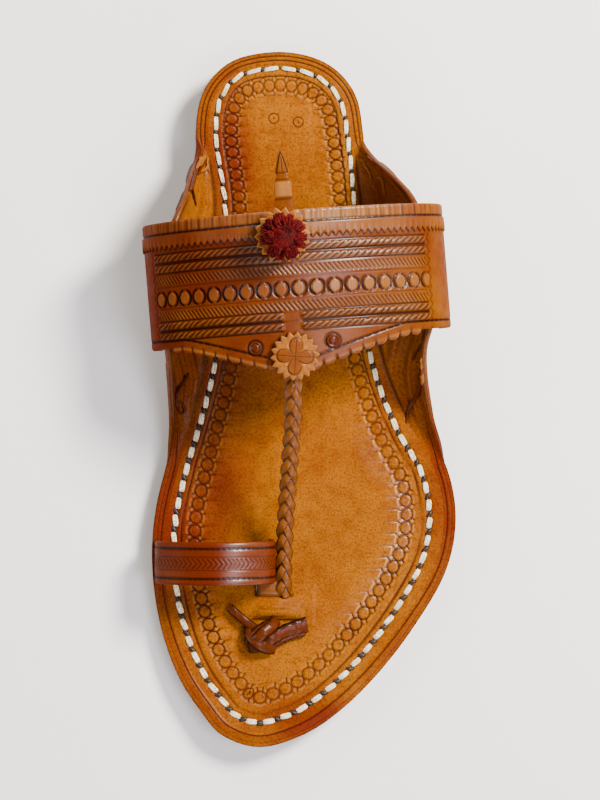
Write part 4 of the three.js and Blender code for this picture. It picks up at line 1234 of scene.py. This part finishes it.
def instep_band():
    s = np.linspace(-BAND_HALF_LENGTH, BAND_HALF_LENGTH, BAND_COLUMNS)[:, None]
    back, front = band_back_edge(s), band_front_edge(s) + scallop(s)
    start = np.linspace(0, 1, BAND_ROWS)[None, :]
    zone = np.maximum(back, BAND_BACK + (FRONT_ZONE_V - BAND_BACK) * start)
    ahead = FRONT_ZONE_V + (front - FRONT_ZONE_V) * np.linspace(0, 1, BAND_FRONT_ROWS + 1)[None, 1:]
    v = np.concatenate([zone + 1e-3 * start, ahead], 1)
    s_outer = np.broadcast_to(s, v.shape)
    height, press_and_shade, wear_and_highlight = band_tooling(s_outer, v)
    at_front = front - v
    rounding = -0.5 * step(at_front, 0.9, 0.0) - 0.5 * step(v - back, 0.8, 0.0)
    at_end = BAND_HALF_LENGTH - np.abs(s_outer)
    rounding = rounding - 0.5 * step(at_end, 1.0, 0.0)
    outer = band_point(s_outer, v, -(height + rounding))
    f = np.linspace(1, 0, 9)[None, :]
    v_inner = back + (front - back) * f
    s_inner = np.broadcast_to(s, v_inner.shape)
    depth = BAND_WALL - 0.3 * step(np.abs(2 * f - 1), 0.98, 1.0)
    inner = band_point(s_inner, v_inner, np.broadcast_to(depth, v_inner.shape))
    ring = np.concatenate([outer, inner], 1)
    blank = np.zeros(v_inner.shape)
    # Darker towards the big-toe end, partly dye and partly painted shade on the side turned from the key
    # lamp; the lining is darkened and toned as painted shade.
    tone = 0.5 + 0.5 * step(s_outer, 25, -62) + 0.3 * step(s_outer, -58, -64) - 0.2 * step(s_outer, 60, 64)
    sheen = step(s_outer, -40, -6) * step(s_outer, 60, 44) * (0.55 + 0.45 * step(v, 12, -4))
    marks = {
        "press_and_shade": np.concatenate([press_and_shade, blank + 0.3], 1),
        "wear_and_highlight": np.concatenate([wear_and_highlight, blank], 1),
        "tone": np.concatenate([tone, blank + 0.6], 1),
        "wax": np.concatenate([0.75 * sheen - 0.7, blank - 0.7], 1),
    }
    return rings_object("instep_band_tooled", ring, marks)


finish_mesh(instep_band(), STRAP_LEATHER, "strap_leather", "upper")

# %% [markdown]
# ## The plaited thong
#
# Three flat thongs are plaited. Each one swings from side to side once in a plait's length and dips under
# at both turns, twice as often, a third of a turn after its neighbour. Two sines give exactly that.

# %% Plait the thong
THONG_ROUTE = np.array([
    (-5.4, 121.5, 55.2), (-5.4, 127, 54.6), (-5.2, 134, 52.6), (-5.1, 146, 46.6), (-5.5, 160, 37.4),
    (-6.1, 174, 28.6), (-6.7, 188, 21), (-7, 200, 15.6), (-7, 209, 12), (-7, 214.6, 10), (-7, 217.6, 8.3),
])
PLAIT_LENGTH = 21.0
PLAIT_SWING = 1.85
PLAIT_DIP = 0.75
STRAND_WIDTH = 3.5
STRAND_THICKNESS = 1.3


def thong():
    route = open_curve(place(THONG_ROUTE[:, 0], THONG_ROUTE[:, 1], THONG_ROUTE[:, 2]), 260)
    across = np.array([1.0, 0, 0])
    up = unit(np.cross(across, np.gradient(route, axis=0)))
    up = up * np.sign(up[:, 2:3])
    length = run_length(route)
    strands = []
    for k in range(3):
        phase = 2 * math.pi * (length / PLAIT_LENGTH + k / 3)
        sideways = (PLAIT_SWING + 0.8 * step(length, 12, 0)) * np.sin(phase)
        lift = PLAIT_DIP * np.sin(2 * phase + 0.4)
        path = route + sideways[:, None] * across + lift[:, None] * up
        tilt = up + 0.35 * np.sin(phase)[:, None] * across
        strands.append(strip_rings(path, tilt, STRAND_WIDTH, STRAND_THICKNESS, crown=0.3))
    return many_tubes("thong_plait", strands, strip_marks([len(route)] * 3, dark=1.0, bright=0.08))


finish_mesh(thong(), PLAIT_LEATHER, "strap_leather", "upper")

# %% [markdown]
# Beside the plait the flat end of the toe strap runs forward and goes down through the same slit.

# %% Lead the strap's end into the slit
STRAP_END = np.array([
    (-12.6, 205.0, 9.9), (-12.6, 209.0, 10.0), (-12.5, 213.0, 9.7), (-12.5, 216.0, 9.2), (-12.5, 218.0, 7.4),
])
STRAP_END_WIDTH = 11.4
STRAP_END_THICKNESS = 1.6


def strap_end():
    path = open_curve(place(STRAP_END[:, 0], STRAP_END[:, 1], STRAP_END[:, 2]), 40)
    strip = strip_rings(path, np.array([0, 0.2, 1.0]), STRAP_END_WIDTH, STRAP_END_THICKNESS, crown=0.15)
    return many_tubes("toe_strap_end", [strip], strip_marks([len(path)], dark=1.0, bright=0.0))


finish_mesh(strap_end(), STRAP_LEATHER, "strap_leather")

# %% [markdown]
# ## The toe strap
#
# A short arched strap with a sewn line near each edge and a row of slanted strokes between two fine lines.

# %% Bend the toe strap
TOE_MEDIAL, TOE_LATERAL = -58.6, -10.4
TOE_FROM, TOE_TO = 195.0, 212.0
TOE_WALL = 2.2
TOE_SHOULDER = 11.0
TOE_WIDEST_Z = 15.4
TOE_SPLIT = math.radians(50)
TOE_HALF = (TOE_LATERAL - TOE_MEDIAL) / 2
TOE_HALF_WIDTH = (TOE_TO - TOE_FROM) / 2
TOE_COLUMNS = 190
TOE_ROWS = 52


def toe_face(distance, depth):
    """(u, z) at a depth below the strap's outer face."""
    form = (TOE_HALF, TOE_SHOULDER, TOE_SPLIT, TOE_WIDEST_Z, 0.0)
    u, z = arch(distance, *form)
    du, dz = np.subtract(arch(distance + 0.5, *form), arch(distance - 0.5, *form))
    run = np.hypot(du, dz)
    return u + depth * dz / run, z - depth * du / run


def toe_strap():
    middle_x, middle_along = (TOE_LATERAL + TOE_MEDIAL) / 2, (TOE_FROM + TOE_TO) / 2
    leg = TOE_WIDEST_Z - SOLE_THICKNESS - GAP
    half_length = arch_half_length(TOE_HALF, TOE_SHOULDER, TOE_SPLIT, 0.0, leg)
    s = np.linspace(-half_length, half_length, TOE_COLUMNS)[:, None]
    w = np.linspace(-1, 1, TOE_ROWS)[None, :] * TOE_HALF_WIDTH
    s, w = np.broadcast_arrays(s, w)
    height, press_and_shade = np.zeros(s.shape), np.zeros(s.shape)
    for line in (-5.9, 5.9):
        h, p = seam(s, w - line, 2.4)
        height, press_and_shade = height + h, np.maximum(press_and_shade, p)
    for line in (-2.6, 2.6):
        fine = bump(w - line, 0.4)
        height, press_and_shade = height - 0.2 * fine, np.maximum(press_and_shade, 0.6 * fine)
    chevron = bump(((s + 0.9 * np.abs(w)) / 2.0 + 0.5) % 1 - 0.5, 0.3) * step(np.abs(w), 2.2, 1.9)
    height, press_and_shade = height - 0.3 * chevron, np.maximum(press_and_shade, 0.75 * chevron)
    height = height - 0.45 * step(TOE_HALF_WIDTH - np.abs(w), 0.8, 0.0)

    u, z = toe_face(s, -height)
    outer = place(middle_x + u, middle_along + w, z)
    back = np.linspace(1, -1, 5)[None, :] * TOE_HALF_WIDTH
    s_in = np.broadcast_to(s[:, :1], (len(s), 5))
    u, z = toe_face(s_in, np.full(s_in.shape, TOE_WALL))
    inner = place(middle_x + u, middle_along + back, z)
    ring = np.concatenate([outer, inner], 1)
    blank = np.zeros(s_in.shape)
    # The big-toe side is toned a little darker as painted shade; right of the middle there is more coat and
    # a faint painted sheen; the end that turns down beside the plait and the lining are darkened as painted
    # shade.
    tone = np.concatenate([1.0 - 0.1 * step(s, -10, 20), blank + 0.6], 1)
    sheen_spot = bump(s - 12, 15)
    wear_and_highlight = 0.06 * sheen_spot * (1 - press_and_shade)
    press_and_shade = np.maximum(press_and_shade, 0.8 * step(s, half_length - 7.5, half_length - 5.5))
    marks = {
        "press_and_shade": np.concatenate([press_and_shade, blank + 0.3], 1),
        "wear_and_highlight": np.concatenate([wear_and_highlight, blank], 1),
        "tone": tone,
        "wax": np.concatenate([1.1 * sheen_spot - 0.6, blank - 0.7], 1),
    }
    return rings_object("toe_strap_tooled", ring, marks)


finish_mesh(toe_strap(), STRAP_LEATHER, "strap_leather", "upper")

# %% [markdown]
# ## Rosettes, leaf and studs
#
# A rosette is a disc of leather cut with a pinking punch and embossed with a four-petalled flower. The
# front one lies on the band's point. The back one holds the pompom and the root of the leaf.

# %% Cut the rosettes and the leaf
FRONT_ROSETTE_RADIUS = 9.6
BACK_ROSETTE_RADIUS = 10.8
ROSETTE_TEETH = 18
ROSETTE_TOOTH = 1.7
ROSETTE_THICKNESS = 1.5
LEAF_THICKNESS = 1.6
FRONT_SEAT = (0.0, 26.5)
BACK_SEAT = (-1.5, -20.0)


def rosette(name, seat, height, turn, outer):
    origin, right, back, up = band_seat(*seat, height)
    around = ROSETTE_TEETH * 12
    angle = np.linspace(0, 2 * math.pi, around, endpoint=False)
    tooth = np.abs((angle * ROSETTE_TEETH / (2 * math.pi)) % 1 - 0.5) * 2
    rim = outer - ROSETTE_TOOTH * (1 - tooth)
    fractions = np.concatenate([np.linspace(0.02, 0.96, 34), [1.0]])
    radius = fractions[:, None] * rim[None, :]
    theta = angle[None, :] + turn
    petal_edge = 6.6 * np.abs(np.cos(2 * theta)) ** 0.55 + 0.6
    petal = step(radius, petal_edge + 0.4, petal_edge - 0.5)
    vein = bump(radius - petal_edge, 0.55)
    rib = bump((np.mod(theta + math.pi / 4, math.pi / 2) - math.pi / 4) * radius, 0.35) * petal
    dot = bump(np.hypot((np.mod(theta, math.pi / 2) - math.pi / 4) * radius, radius - 4.9), 1.0)
    at_rim = step(fractions, 0.93, 1.0)[:, None]
    raised = 0.35 * petal - 0.25 * vein - 0.15 * rib + 0.3 * dot - 0.45 * at_rim
    press_and_shade = np.maximum.reduce([0.7 * vein, 0.5 * rib, 0.25 * bump(radius - rim + 1.2, 0.7)])
    tone = 0.5 * petal
    wear_and_highlight = 0.3 * (1 - petal) * (1 - vein) + 0.3 * dot
    flat = radius[..., None] * circle(angle[None, :], right, back)
    cup = 0.25 * (fractions[:, None] ** 2)
    top = origin + flat + (ROSETTE_THICKNESS + raised - cup)[..., None] * up
    under = origin + flat[[-1, 0]] + 0.05 * up
    blank = np.zeros((2, around))
    # The underside is darkened and toned as painted shade.
    marks = {
        "press_and_shade": np.concatenate([press_and_shade, blank + 0.4], 0),
        "wear_and_highlight": np.concatenate([wear_and_highlight, blank], 0),
        "tone": np.concatenate([tone, blank + 0.5], 0),
    }
    return rings_object(name, np.concatenate([top, under], 0), marks)


FRONT_ROSETTE = rosette("front_rosette_embossed", FRONT_SEAT, 2 * GAP, math.radians(8), FRONT_ROSETTE_RADIUS)
finish_mesh(FRONT_ROSETTE, ROSETTE_LEATHER, "rosette_leather", "front_rosette")
BACK_ROSETTE = rosette("back_rosette_embossed", BACK_SEAT, 2 * GAP + LEAF_THICKNESS, math.radians(30),
                       BACK_ROSETTE_RADIUS)
finish_mesh(BACK_ROSETTE, ROSETTE_LEATHER, "rosette_leather", "back_rosette")

# v, width, rise
LEAF_SECTIONS = np.array([
    (-52, 0.4, 1.2), (-49, 2.4, 1.4), (-45, 4.4, 1.4), (-43.4, 5.0, 1.4), (-42, 4.2, 1.3), (-40.4, 5.6, 1.2),
    (-39, 6.3, 1.1), (-33.5, 6.7, 0.6), (-29, 7.0, 0.1), (-20, 7, 0), (-13, 6.4, 0),
])
LEAF_BLADE_END = -43.2
LEAF_SQUARE = (-40.0, -33.6)
LEAF_ROWS = 120
LEAF_COLUMNS = 25


def leaf():
    v = np.linspace(LEAF_SECTIONS[0, 0], LEAF_SECTIONS[-1, 0], LEAF_ROWS)
    width, rise = smooth_table(LEAF_SECTIONS, 1, v), smooth_table(LEAF_SECTIONS, 2, v)
    u, z = band_face(np.zeros(len(v)), np.maximum(v, BAND_BACK), 0.0)
    q = np.linspace(-1, 1, LEAF_COLUMNS)
    half, at = width[:, None] / 2, v[:, None]
    blade = step(at, LEAF_BLADE_END + 0.4, LEAF_BLADE_END - 0.4)
    outline = bump(half - np.abs(q) * half - 0.45, 0.55) * blade
    rib = bump(q * half, 0.35) * blade * step(half, 0.8, 1.4)
    base = bump(at - LEAF_BLADE_END - 0.2, 0.5)
    fold = bump(at - LEAF_SQUARE[0] + 0.4, 0.5) + bump(at - LEAF_SQUARE[1] - 0.6, 0.6)
    highlighted_zone = step(at, LEAF_SQUARE[0], LEAF_SQUARE[0] + 0.8)
    highlighted_zone = highlighted_zone * step(at, LEAF_SQUARE[1], LEAF_SQUARE[1] - 0.8)
    height = LEAF_THICKNESS - 0.3 * q[None, :] ** 4 - 0.3 * outline - 0.25 * rib - 0.35 * base - 0.3 * fold
    height = height + 0.35 * highlighted_zone * (1 - q[None, :] ** 4)
    lift = (z + GAP + rise)[:, None]
    top = band_place(u[:, None] + q * half, np.broadcast_to(at, (LEAF_ROWS, LEAF_COLUMNS)), lift + height)
    low = np.array([1.0, 0.0, -1.0])
    under = band_place(u[:, None] + low * half, np.broadcast_to(at, (LEAF_ROWS, 3)), lift + 0.05)
    # The raised square at the root is painted pale as a highlight, and the underside is darkened as painted
    # shade.
    press_and_shade = np.maximum.reduce([0.95 * outline, 0.5 * rib, 0.7 * base + 0 * q, 0.6 * fold + 0 * q])
    wear_and_highlight = highlighted_zone * (1 - 0.4 * np.abs(q[None, :]))
    marks = {
        "press_and_shade": np.concatenate([press_and_shade, np.full((LEAF_ROWS, 3), 0.4)], 1),
        "wear_and_highlight": np.concatenate([wear_and_highlight, np.zeros((LEAF_ROWS, 3))], 1) * 0.6,
        "wax": np.full((LEAF_ROWS, LEAF_COLUMNS + 3), -0.55),
    }
    return rings_object("leaf_tab_scored", np.concatenate([top, under], 1), marks)


finish_mesh(leaf(), STRAP_LEATHER, "strap_leather", "leaf_tab")


# distance from the peg's middle and height, from its foot to its top
STUD_PROFILE = (
    (0.3, -0.4), (2.5, -0.4), (2.6, 0.2), (2.4, 0.75), (2.0, 0.8), (1.75, 0.45), (1.6, 0.5), (1.3, 0.85),
    (0.7, 0.98), (0.1, 1.0),
)


def studs():
    """Two short leather pegs, each in a dark punched ring."""
    tubes = []
    for distance, v in STUDS:
        origin, right, back, up = band_seat(distance, v, -0.3)
        rim = circle(np.linspace(0, 2 * math.pi, 28, endpoint=False), right, back)
        tubes.append([origin + radius * rim + height * up for radius, height in STUD_PROFILE])
    return many_tubes("band_studs", tubes)


finish_mesh(studs(), KNOT_LEATHER, "knot_leather")

# %% [markdown]
# ## The pompom
#
# A pompom is cut wool tied in the middle. It is a small lumpy core with many short tufts standing out of it,
# thicker near the core and blunt at the tip, in clumps with dark gaps between them.

# %% Tie the pompom
POMPOM_RADIUS = 9.3
POMPOM_HEIGHT = 11.4
TUFTS = 2300
TUFT_WIDTH = 0.36 * np.array([0.8, 1.0, 1.0, 0.85, 0.45])
CLUMPS = 34
CORE_AROUND = 18
CORE_SIZE = 0.62


def pompom():
    origin, right, back, up = band_seat(*BACK_SEAT, 3 * GAP + LEAF_THICKNESS + ROSETTE_THICKNESS)
    rng = np.random.default_rng(21)
    centre = origin + up * POMPOM_HEIGHT / 2
    axes = np.stack([right, back, up])
    scale = np.array([POMPOM_RADIUS, POMPOM_RADIUS, POMPOM_HEIGHT / 2])
    tubes = []
    clumps = rng.normal(size=(CLUMPS, 3))
    clumps[:, 2] = np.abs(clumps[:, 2]) * 0.8
    clumps = unit(clumps)
    for _ in range(TUFTS):
        outward = rng.normal(size=3)
        outward[2] = abs(outward[2]) * 1.5 - 0.8
        outward = unit(outward)
        near = clumps[np.argmax(clumps @ outward)]
        lean = unit(outward * 0.6 + near * 0.4)
        reach = rng.uniform(0.8, 1.02) * (0.86 + 0.14 * float(near @ outward))
        start, end = outward * scale * 0.35, lean * scale * reach
        bend = np.cross(outward, rng.normal(size=3)) * 0.7
        f = np.linspace(0, 1, len(TUFT_WIDTH))[:, None]
        path = start * (1 - f) + end * f + bend * f * (1 - f) * 2
        width = TUFT_WIDTH * rng.uniform(0.7, 1.3)
        side = unit(np.cross(lean, [0.3, 0.5, 0.8]))
        angle = np.linspace(0, 2 * math.pi, 5, endpoint=False) + rng.uniform(0, 2)
        rings = path[:, None] + width[:, None, None] * circle(angle, side, np.cross(lean, side))[None]
        tubes.append(centre + rings @ axes)
    around = np.linspace(0, 2 * math.pi, CORE_AROUND, endpoint=False)
    core = []
    for t in np.linspace(0.06, math.pi - 0.06, 12):
        r = CORE_SIZE * np.sin(t)
        level = np.full(CORE_AROUND, 0.95 * np.cos(t))
        shell = np.stack([r * np.cos(around), r * np.sin(around), level], 1)
        core.append(centre + (shell * scale) @ axes)
    tubes.append(core)
    return many_tubes("pompom_cut_wool", tubes)


finish_mesh(pompom(), WOOL, "wool", "pompom")

# %% [markdown]
# ## The toe knot
#
# The ends of the thong and of the strap go down through one slit, come up through the next and are tied. The
# knot is drawn with six short lengths of flat thong: three make the knot itself, and three tails stick out
# to both sides. Heights are above the footbed.

# %% Tie the knot
KNOT_FLOOR = float(footbed_top(np.array(-15.0), np.array(230.0))) + 0.2


KNOT_STEPS = 46
UPRIGHT = (0.0, 0.0, 1.0)
LEANING = (0.25, -0.2, 0.95)

# points (x, along, height); width at the start and at the end, thickness, crown, direction of the face
KNOT_THONGS = (
    (((2.4, 229.2, 1.3), (-1.5, 230.2, 2.2), (-6, 231.6, 3.0), (-10.5, 233.8, 3.8), (-14.5, 237.0, 3.4)),
     6.6, 4.62, 2.3, 0.25, LEANING),
    (((1.4, 232.0, 0.9), (-4, 233.4, 1.8), (-9, 235.8, 2.4), (-13.6, 238.4, 1.8)),
     4.0, 2.8, 1.8, 0.25, UPRIGHT),
    (((-28.6, 222.2, 1.6), (-25.4, 225.0, 2.6), (-21.6, 228.2, 3.0), (-17.4, 231.0, 3.6), (-13, 232, 3.0)),
     3.4, 3.88, 2.0, 0.25, UPRIGHT),
    (((-20.6, 230.4, 1.2), (-20.2, 233.2, 4.0), (-17.4, 236.4, 5.2), (-13.4, 238.2, 3.2),
      (-11.4, 238.4, 1.4)),
     4.48, 5.6, 2.6, 0.5, UPRIGHT),
    (((-18.6, 239.4, 1.4), (-18.6, 236.0, 4.6), (-15.6, 232.2, 6.6), (-11.8, 229.4, 4.4),
      (-10.4, 228.0, 1.2)),
     5.0, 5.0, 2.4, 0.5, UPRIGHT),
    (((-20.8, 236.4, 1.6), (-17.8, 232.2, 4.8), (-14.0, 229.6, 4.4), (-11.6, 228.8, 2.2)),
     4.6, 4.6, 2.6, 0.5, UPRIGHT),
)


def knot():
    strips = []
    for number, (points, first, last, thickness, crown, up) in enumerate(KNOT_THONGS):
        points = np.array(points, float)
        path = open_curve(place(points[:, 0], points[:, 1], KNOT_FLOOR + points[:, 2]), KNOT_STEPS)
        strip = strip_rings(path, np.array(up), np.linspace(first, last, KNOT_STEPS), thickness, crown)
        crumple = 0.22 * wobble(*(1.5 * strip[..., i] for i in range(3)), seed=60 + number)
        strip[..., 2] += crumple * 1.4
        strip[..., 1] += crumple
        strips.append(strip)
    marks = strip_marks([KNOT_STEPS] * len(strips), dark=0.9, bright=0.03)
    return many_tubes("toe_knot_tied", strips, marks)


finish_mesh(knot(), KNOT_LEATHER, "knot_leather", "toe_knot")

# %% [markdown]
# ## The ear laces
#
# A narrow thong runs in and out of slits near the upper edge of each ear and ties it to the band. Its
# floats lie on the ears' outer faces.

# %% Lace the ears
LACE_FLOATS = ((45.5, 7.5), (56.5, 9.5), (125.0, 8.5), (136.0, 8.5))
LACE_RINGS = 22
LACE_WIDTH = 2.9
LACE_THICKNESS = 1.2
LACE_FROM_EDGE = 5.0


def ear_laces():
    tubes = []
    f = np.linspace(-1, 1, LACE_RINGS)
    for side in ("medial", "lateral"):
        for start, run in LACE_FLOATS:
            along = np.linspace(start, start + run, LACE_RINGS)
            under, face, from_edge, _ = side_grid(side, along)
            target = np.minimum(LACE_FROM_EDGE, 0.5 * from_edge[:, 0])
            path, normal = (
                np.array([
                    [np.interp(-target[i], -from_edge[i], source[i, :, k]) for k in range(3)]
                    for i in range(LACE_RINGS)
                ])
                for source in (under, face)
            )
            normal = unit(normal)
            path = path - normal * (0.45 - 1.3 * np.abs(f) ** 8)[:, None]
            path = place(path[:, 0], path[:, 1], path[:, 2])
            tubes.append(strip_rings(path, normal * [-1, 1, -1], LACE_WIDTH, LACE_THICKNESS, crown=0.4))
    return many_tubes("ear_laces", tubes, strip_marks([LACE_RINGS] * len(tubes), bright=0.0))


finish_mesh(ear_laces(), PLAIT_LEATHER, "strap_leather")

# %% [markdown]
# The ends of the lace are drawn through small cuts in the ears and lie there as thin dark loops, with a few
# short tufts of golden leather beside them. They are laid one by one on the ear's inner face.

# %% Lay the lace ends
LACE_END_RINGS = 36
LACE_END_AROUND = 10

# side, places (x, along), radius
DARK_LOOPS = (
    ("medial", ((-44.8, 128.6), (-47.0, 131.8), (-49.2, 135.4), (-50.2, 139.0), (-49.8, 142.4),
                (-48.2, 144.8)), 0.7),
    ("medial", ((-48.4, 144.8), (-46.9, 143.6), (-47.4, 141.0), (-49.0, 140.4)), 0.6),
    ("lateral", ((42.4, 146.4), (43.6, 142.6), (46.2, 138.6), (47.4, 135.0), (47.0, 131.6), (49.0, 129.8),
                 (51.4, 131.4), (51.8, 134.4), (50.2, 136.6)), 0.7),
    ("lateral", ((44.0, 125.6), (45.0, 123.0), (46.4, 119.6)), 0.5),
    ("medial", ((-38.6, 44.2), (-40.4, 46.2), (-41.6, 49.6)), 0.6),
    ("medial", ((-43.0, 50.8), (-44.2, 54.0), (-43.6, 57.6), (-42.4, 62.0)), 0.55),
    ("medial", ((-46.0, 48.0), (-47.6, 52.0), (-48.2, 56.6)), 0.8),
    ("lateral", ((28.4, 42.0), (29.8, 43.6), (31.6, 44.4)), 0.55),
)
GOLD_TUFTS = (
    ("lateral", ((49.2, 131.4), (49.8, 133.4), (49.6, 136.0)), 0.8),
    ("lateral", ((45.0, 126.6), (46.8, 128.0), (48.4, 130.2)), 0.45),
    ("lateral", ((47.8, 125.6), (48.2, 127.8), (49.2, 129.4)), 0.5),
    ("medial", ((-38.2, 41.6), (-40.0, 43.4), (-41.2, 46.0)), 0.9),
    ("medial", ((-37.0, 45.6), (-38.8, 47.2), (-41.4, 48.4)), 0.7),
    ("medial", ((-41.6, 42.6), (-43.4, 44.4), (-44.6, 47.4)), 0.7),
    ("medial", ((-37.2, 42.8), (-37.6, 45.6), (-37.0, 48.8)), 0.5),
    ("lateral", ((24.6, 43.4), (25.4, 45.4), (26.8, 48.0), (28.0, 51.4)), 0.55),
    ("lateral", ((23.6, 42.4), (24.4, 43.6), (25.2, 43.2)), 0.6),
    ("lateral", ((29.6, 51.0), (31.2, 51.6), (32.0, 54.4), (32.8, 58.4)), 0.5),
)


def on_ear(side, x, along):
    """Points and normals on the ear's inner face above places (x, along)."""
    under, face, _, _ = side_grid(side, along)
    inner = under + face * FOOTBED_THICKNESS
    sign = -1 if side == "medial" else 1
    points, normals = (
        np.array([
            [np.interp(sign * x[i], sign * inner[i, :, 0], source[i, :, k]) for k in range(3)]
            for i in range(len(along))
        ])
        for source in (inner, face)
    )
    return points, unit(normals)


def lace_ends(name, routes):
    tubes = []
    angle = np.linspace(0, 2 * math.pi, LACE_END_AROUND, endpoint=False)[None, :]
    f = np.linspace(-1, 1, LACE_END_RINGS)
    for side, points, radius in routes:
        route = open_curve(np.array(points), LACE_END_RINGS)
        spot, normal = on_ear(side, route[:, 0], route[:, 1])
        path = place(spot[:, 0], spot[:, 1], spot[:, 2])
        up = normal * [1, -1, 1]
        across = unit(np.cross(unit(np.gradient(path, axis=0)), up))
        lumpy = 1 + 0.3 * wobble(route[:, 0] * 1.7, route[:, 1] * 1.7, seed=52)
        size = radius * lumpy * np.sqrt(np.clip(1 - np.abs(f) ** 8, 0.05, 1))
        path = path + up * (0.5 * radius - 0.8 * radius * np.abs(f) ** 6)[:, None]
        path = path + 0.35 * wobble(route[:, 1] * 1.3, route[:, 0], seed=53)[:, None] * across
        tubes.append(path[:, None] + size[:, None, None] * circle(angle, across[:, None], up[:, None]))
    return many_tubes(name, tubes)


finish_mesh(lace_ends("ear_lace_loops", DARK_LOOPS), KNOT_LEATHER, "strap_leather")
finish_mesh(lace_ends("ear_lace_tufts", GOLD_TUFTS), TORN_LEATHER, "strap_leather")

# %% [markdown]
# ## The floor
#
# A plain pale floor, wide enough to hold the soft shadow.

# %% Lay the floor
FLOOR_HALF = 3.0
floor_corners = [(FLOOR_HALF * x, FLOOR_HALF * y, 0) for x, y in ((-1, -1), (1, -1), (1, 1), (-1, 1))]
floor_material, _, floor_shader = new_material("floor_matt_white")
floor_shader.inputs["Base Color"].default_value = colour("#FDFDFC")
floor_shader.inputs["Roughness"].default_value = 0.9
floor_mesh = bpy.data.meshes.new("floor")
floor_mesh.from_pydata(floor_corners, [], [(0, 1, 2, 3)])
floor = bpy.data.objects.new("floor", floor_mesh)
floor_mesh.materials.append(floor_material)
bpy.context.collection.objects.link(floor)
